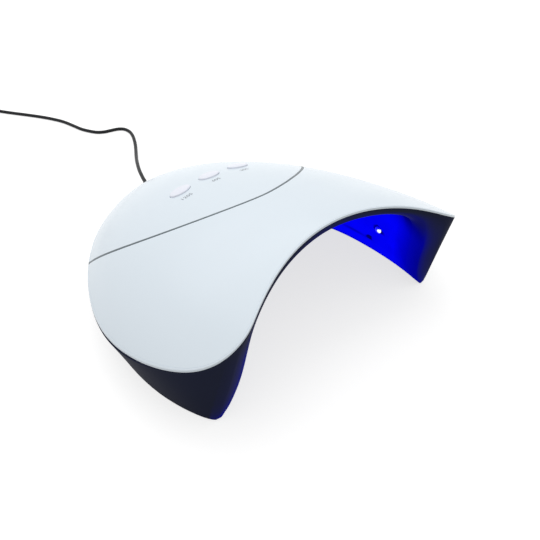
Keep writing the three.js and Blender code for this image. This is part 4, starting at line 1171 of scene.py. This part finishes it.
def paintedHandLightGroup():
    # the painted blue of the lights on a surface: the piece's painted light share, mottled a little, with a
    # soft dark streak in that painted light near the seam on the walls, a bell curve across its height and
    # one along its length
    look = paintedBlueLook
    group, given, made = addGroup(
        "paintedHandLight", {"Color": (0, 0, 1, 1), "Mottle": 0.25, "Streak": 0.45}, {"Color": (0, 0, 1, 1)})
    where = group.nodes.new("ShaderNodeTexCoord").outputs["Object"]
    axes = addNode(group, "ShaderNodeSeparateXYZ", {"Vector": where}).outputs
    cloud = noise(group, where, look["mottleScale"], 2.0)

    def times(first, second):
        return calc(group, "MULTIPLY", first, second)

    bells = []
    for axis, (middle, spread) in look["streakAt"].items():
        off = calc(group, "DIVIDE", calc(group, "SUBTRACT", axes[axis], middle), spread)
        bells.append(calc(group, "POWER", 2.718, times(times(off, off), -1.0)))
    lit = calc(group, "SUBTRACT", 1.0, times(times(*bells), given["Streak"]))
    centred = calc(group, "SUBTRACT", cloud, 0.5)
    mottle = calc(group, "MULTIPLY_ADD", centred, given["Mottle"], 1.0)
    level = times(times(glowAndPaintedLightOf(group), mottle), lit)
    fill(group, made, {"Color": scaled(group, given["Color"], level)})
    return group


paintedHandLight = paintedHandLightGroup()


def addPaintedBlueLight(finish):
    # painted blue light: full to the camera and in reflections, weaker as light on other things; where this
    # painted light falls the base colour is darker, elsewhere a painted highlight makes it paler towards its
    # outline
    look, tree = paintedBlueLook, finishes[finish].node_tree
    light = addNode(tree, "ShaderNodeGroup", {
        "Color": look["color"], "Mottle": look["mottle"], "Streak": look["streak"]}, node_tree=paintedHandLight)
    kept = calc(tree, "MAXIMUM", seenBy(tree, "Glossy"), look["spill"])
    shade = mapped(tree, glowAndPaintedLightOf(tree), look["darken"])
    # painted highlight: the base colour made paler at grazing angles, towards the outline, where no blue
    # light is painted
    facing = addNode(tree, "ShaderNodeLayerWeight", {"Blend": 0.5}).outputs["Facing"]
    grazingHighlight = calc(tree, "MULTIPLY", calc(tree, "POWER", facing, look["rimPower"]), shade)
    paler = addNode(tree, "ShaderNodeVectorMath", {
        0: scaled(tree, tree.nodes["Group"].outputs["Color"], shade),
        1: calc(tree, "MULTIPLY", grazingHighlight, look["rimHighlight"][finish])}, operation="ADD").outputs[0]
    shown = scaled(tree, light.outputs["Color"], kept)
    fill(tree, tree.nodes["Principled BSDF"], {
        "Base Color": paler, "Emission Color": shown, "Emission Strength": 1.0})


def lensMaterial():
    # clear lens: bright over the lit chip, blue round it
    material = plastic("lightLens", linear(10, 10, 60), 0.2, bump=0.01, gloss=0.1)
    tree = material.node_tree
    ramp = addNode(tree, "ShaderNodeValToRGB", {"Fac": glowAndPaintedLightOf(tree)})
    for stop, color in zip(ramp.color_ramp.elements, ((0.001, 0.0005, 0.8, 1), (0.9, 0.95, 1.0, 1))):
        stop.color = color
    fill(tree, tree.nodes["Principled BSDF"], {
        "Emission Color": ramp.outputs["Color"], "Emission Strength": 1.2})
    return material


finishes["lens"] = lensMaterial()
finishes["liner"] = plastic("linerDark", linear(5, 4, 16), 0.5, bump=0.03, gloss=0.0)
addPaintedBlueLight("liner")
addPaintedBlueLight("housing")
# the hand sensors are no lamps: the blue of the lamps' light is painted on them as emission
tree = finishes["sensor"].node_tree
fill(tree, tree.nodes["Principled BSDF"], {
    "Emission Color": (0.001, 0.001, 0.16, 1), "Emission Strength": 1.0})
dress(finishLiner(), "liner", replaced=["cavity_liner"])
for i, place in enumerate(lightFrames):
    number = f"{i + 1:02d}"
    piece = lens("light" + number, lights["radius"], lights["proud"], cavity["liner"], place)
    lightChip(piece, place)
    dress(sharpen(piece), "lens", replaced=["led_" + number])
for name, node, place in zip(("sensorLeft", "sensorRight"), ("ir_emitter", "ir_receiver"), sensorFrames):
    piece = lens(name, lights["sensorRadius"], lights["sensorProud"], lights["sensorBack"], place)
    dress(sharpen(piece), "sensor", replaced=[node])
print("liner, lights and sensors made")

# Rubber feet and the lead's outlet

for i in range(1, 5):
    pad = f"foot_pad_{i}"
    sections = easedSections(*padPlan(i, 0, 0.7), 0, boxOf(pad)[1][2], 0.35, 0.1)
    piece = block(f"foot{i}", sections, floorPlace(pad), 8 if i < 3 else 14)
    dress(sharpen(piece), "rubber", replaced=[pad])

relief = {
    "collar": 4.5, "collarWall": 1.6, "shaft": 3.0, "base": 3.8, "tip": 2.0, "boot": 10.4, "grooves": 4,
    "grooveDepth": 0.55, "chamfer": 0.25,
}


def reliefPiece():
    # a collar inside the wall, then a tapered boot with grooves cut round it
    r = relief
    low, high = boxOf("strain_relief")
    start, end = low[1], high[1]
    face = end - r["boot"]
    profile = [(0, start), (r["collar"], start), (r["collar"], start + r["collarWall"]),
               (r["shaft"], start + r["collarWall"]), (r["shaft"], face), (r["base"] - r["chamfer"], face),
               (r["base"], face + 0.3), (r["base"], face + 1.6)]
    first = face + 1.9
    pitch = (end - 0.9 - first) / r["grooves"]
    for k in range(r["grooves"]):
        at = first + k * pitch
        wide = [r["base"] + (r["tip"] - r["base"]) * (y - face) / r["boot"]
                for y in (at, at + pitch * 0.45, at + pitch)]
        narrow = wide[0] - r["grooveDepth"]
        profile += [(narrow, at), (narrow, at + pitch * 0.4),
                    (wide[1], at + pitch * 0.45), (wide[2] + 0.05, at + pitch * 0.95)]
    profile += [(r["tip"], end - r["chamfer"]), (r["tip"] - r["chamfer"], end), (0, end)]
    return lathe("strainRelief", profile, rearward, 40)


dress(sharpen(reliefPiece()), "jacket", replaced=["strain_relief"])

# Lead, coil, tie and plug

plug = {
    "bootLength": 8, "bootLow": 1.6, "bootHigh": 3.0, "width": 15.4, "height": 9, "length": 23, "edge": 1.6,
    "shellWidth": 12, "shellHeight": 4.5, "shellLength": 14, "shellWall": 0.35,
    "ribs": 4, "ribStart": 1.0, "ribPitch": 1.7, "rib": ((0, 0), (0.1, 0.9), (-0.35, 1.0), (-0.3, 1.5)),
    "grips": 5, "gripFrom": 5, "gripPitch": 2.2, "grip": (0.7, 2.8, 0.3), "gripOut": 0.45,
    "latchBack": 7.2, "latch": (1.25, 8, 0.05), "latchX": 3,
}
tie = {"wall": 0.5, "width": 5, "gap": 0.3, "corner": 1.4, "innerCorner": 0.9, "past": 2}
plugStart = cordPath[-1] + plugWay * 0.3
plugAcross = np.cross([0, 0, 1.0], plugWay)
plugMiddle = plug["height"] / 2


def plugFrame(height):
    # local Z runs along the plug, local X across it, local Y up
    place = (plugStart[0], plugStart[1], height)
    return toMatrix(place, plugAcross.tolist(), (0, 0, 1), plugWay.tolist())


def plugBodyPiece():
    # the moulded grip with its ribbed boot, and grip marks cut into both sides
    p = plug
    low, high = p["bootLength"], p["bootLength"] + p["length"]
    middle = plugFrame(plugMiddle)
    sections = easedSections(p["width"] / 2, p["height"] / 2, p["edge"], low, high, 1.0, 0.8)
    mould = block("plugBody", sections, middle)
    boot = [(0, 0), (p["bootLow"], 0)]
    for k in range(p["ribs"]):
        at = p["ribStart"] + k * p["ribPitch"]
        wide = p["bootLow"] + (p["bootHigh"] - p["bootLow"]) * at / low
        boot += [(wide + out, at + on) for out, on in p["rib"]]
    boot += [(p["bootHigh"], low - 0.1), (p["bootHigh"], low + 1.5), (0, low + 1.5)]
    cut(mould, [lathe("plugBoot", boot, plugFrame(cordPath[-1][2]), 36)], "UNION")
    grips = []
    for side in (-1, 1):
        for k in range(p["grips"]):
            spot = (side * (p["width"] / 2 + p["gripOut"]), 0, low + p["gripFrom"] + k * p["gripPitch"])
            grips.append(straight("grip", p["grip"], 0, 1.0, middle @ Matrix.Translation(spot), 4))
    return cut(mould, grips)


def plugShellPiece():
    # a folded steel tube with two latch holes in each broad side
    p = plug
    middle = plugFrame(plugMiddle)
    low = p["bootLength"] + p["length"] - 1.0
    high = low + 1.0 + p["shellLength"]
    halfX, halfY, wall = p["shellWidth"] / 2, p["shellHeight"] / 2, p["shellWall"]
    tube = block("plugShell", [(halfX, halfY, 0.6, low), (halfX, halfY, 0.6, high - 0.15),
                               (halfX - 0.1, halfY - 0.1, 0.5, high)], middle)
    cutters = [straight("bore", (halfX - wall, halfY - wall, 0.35), low + 1.2, high + 5, middle)]
    for side in (-1, 1):
        spot = Matrix.Translation((side * p["latchX"], 0, high - p["latchBack"]))
        cutters.append(straight("latch", p["latch"], 0, 2.2, middle @ spot, 4))
    return cut(tube, cutters)


def tiePiece():
    # a flat band once round all the turns
    plan, wall, gap, wide = cordPlan, tie["wall"], tie["gap"], tie["width"] / 2
    near = coilInner - plan["radius"] - gap
    far = coilInner + plan["pitch"] * plan["turns"] / 2 + plan["radius"] + gap
    top = plan["low"] + plan["layer"] + plan["radius"] + gap
    angle = 2 * math.pi * plan["startShare"] + math.pi
    out = (math.cos(angle), math.sin(angle), 0)
    centre = np.array([*plan["centre"], 0]) + np.array(out) * (near + far) / 2 + [0, 0, (wall + top) / 2]
    place = toMatrix(centre.tolist(), out, (0, 0, 1), (math.sin(angle), -math.cos(angle), 0))
    halfX, halfZ, reach = (far - near) / 2, (top - wall) / 2, wide + tie["past"]
    band = straight("coilTie", (halfX + wall, halfZ + wall, tie["corner"]), -wide, wide, place)
    return cut(band, [straight("inside", (halfX, halfZ, tie["innerCorner"]), -reach, reach, place)])


lead = tubeMesh("lead", cordPath, cordPlan["radius"], cordPlan["sides"])
dress(lead, "jacket", replaced=["power_cord", "cord_coil"])
sleeve = dress(sharpen(tiePiece()), "plugBlack", replaced=["coil_tie"])
plugMould = dress(sharpen(plugBodyPiece()), "plugBlack", replaced=["usb_plug_body"])
plugTube = dress(sharpen(plugShellPiece()), "plugSteel", replaced=["usb_plug_shell"])
print("lead, coil, tie and plug made")

# Pieces inside keep their CAD shapes and get their finishes

inside = {
    "board": ["control_board", "led_strip_left", "led_strip_right", "led_strip_ceiling_left",
              "led_strip_ceiling_right"],
    "stem": ["switch_stem_120", "switch_stem_60", "switch_stem_30"],
    "switch": ["tact_switch_120", "tact_switch_60", "tact_switch_30"],
    "steel": [f"{kind}_screw_{i}" for kind, count in (("board", 4), ("housing", 4), ("clamp", 2))
              for i in range(1, count + 1)],
    "jacket": ["lead_inside", "wire_board_left", "wire_board_right", "wire_side_left", "wire_side_right"],
    "plugBlack": ["cord_clamp", "usb_plug_tongue"],
}
for finish, names in inside.items():
    for name in names:
        coat(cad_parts[name], finish)
print("inner pieces finished")

# Floor, background and lamps

studio = {
    "world": 0.68, "key": 4.9, "keySize": 1.2, "keyPlace": (0.1, 0.45, 1.0), "keyTarget": (0, 0, 0.03),
    "floor": 0.46, "floorSeen": 0.72, "reach": 6000,
}


def addLamp():
    place = Vector(studio["keyPlace"])
    data = bpy.data.lights.new("topSoftbox", "AREA")
    data.shape = "SQUARE"
    data.size = studio["keySize"]
    data.energy = studio["key"]
    lamp = addObject("topSoftbox", data)
    lamp.location = place
    lamp.rotation_euler = (Vector(studio["keyTarget"]) - place).to_track_quat("-Z", "Y").to_euler()


def addWorld():
    world = bpy.data.worlds.new("studioWorld")
    scene.world = world
    world.use_nodes = True
    tree = world.node_tree
    level = mapped(tree, seenBy(tree, "Glossy", "Transmission"), {"To Min": studio["world"], "To Max": 1.0})
    fill(tree, tree.nodes["Background"], {"Color": (1, 1, 1, 1), "Strength": level})


def addFloor():
    r = studio["reach"]
    floor = addPiece("floor", [(-r, -r, 0), (r, -r, 0), (r, r, 0), (-r, r, 0)], [[(0, 1, 2, 3)]])
    material, tree, shader = addMaterial("paleFloor")
    shown = mapped(tree, seenBy(tree, "Glossy", "Transmission"), {"To Max": studio["floorSeen"]})
    fill(tree, shader, {
        "Base Color": (studio["floor"],) * 3 + (1,), "Roughness": 0.9, "Specular IOR Level": 0.1,
        "Emission Color": shown, "Emission Strength": 1.0,
    })
    floor.data.materials.append(material)


addWorld()
addFloor()
addLamp()
scene.view_settings.view_transform = "Standard"
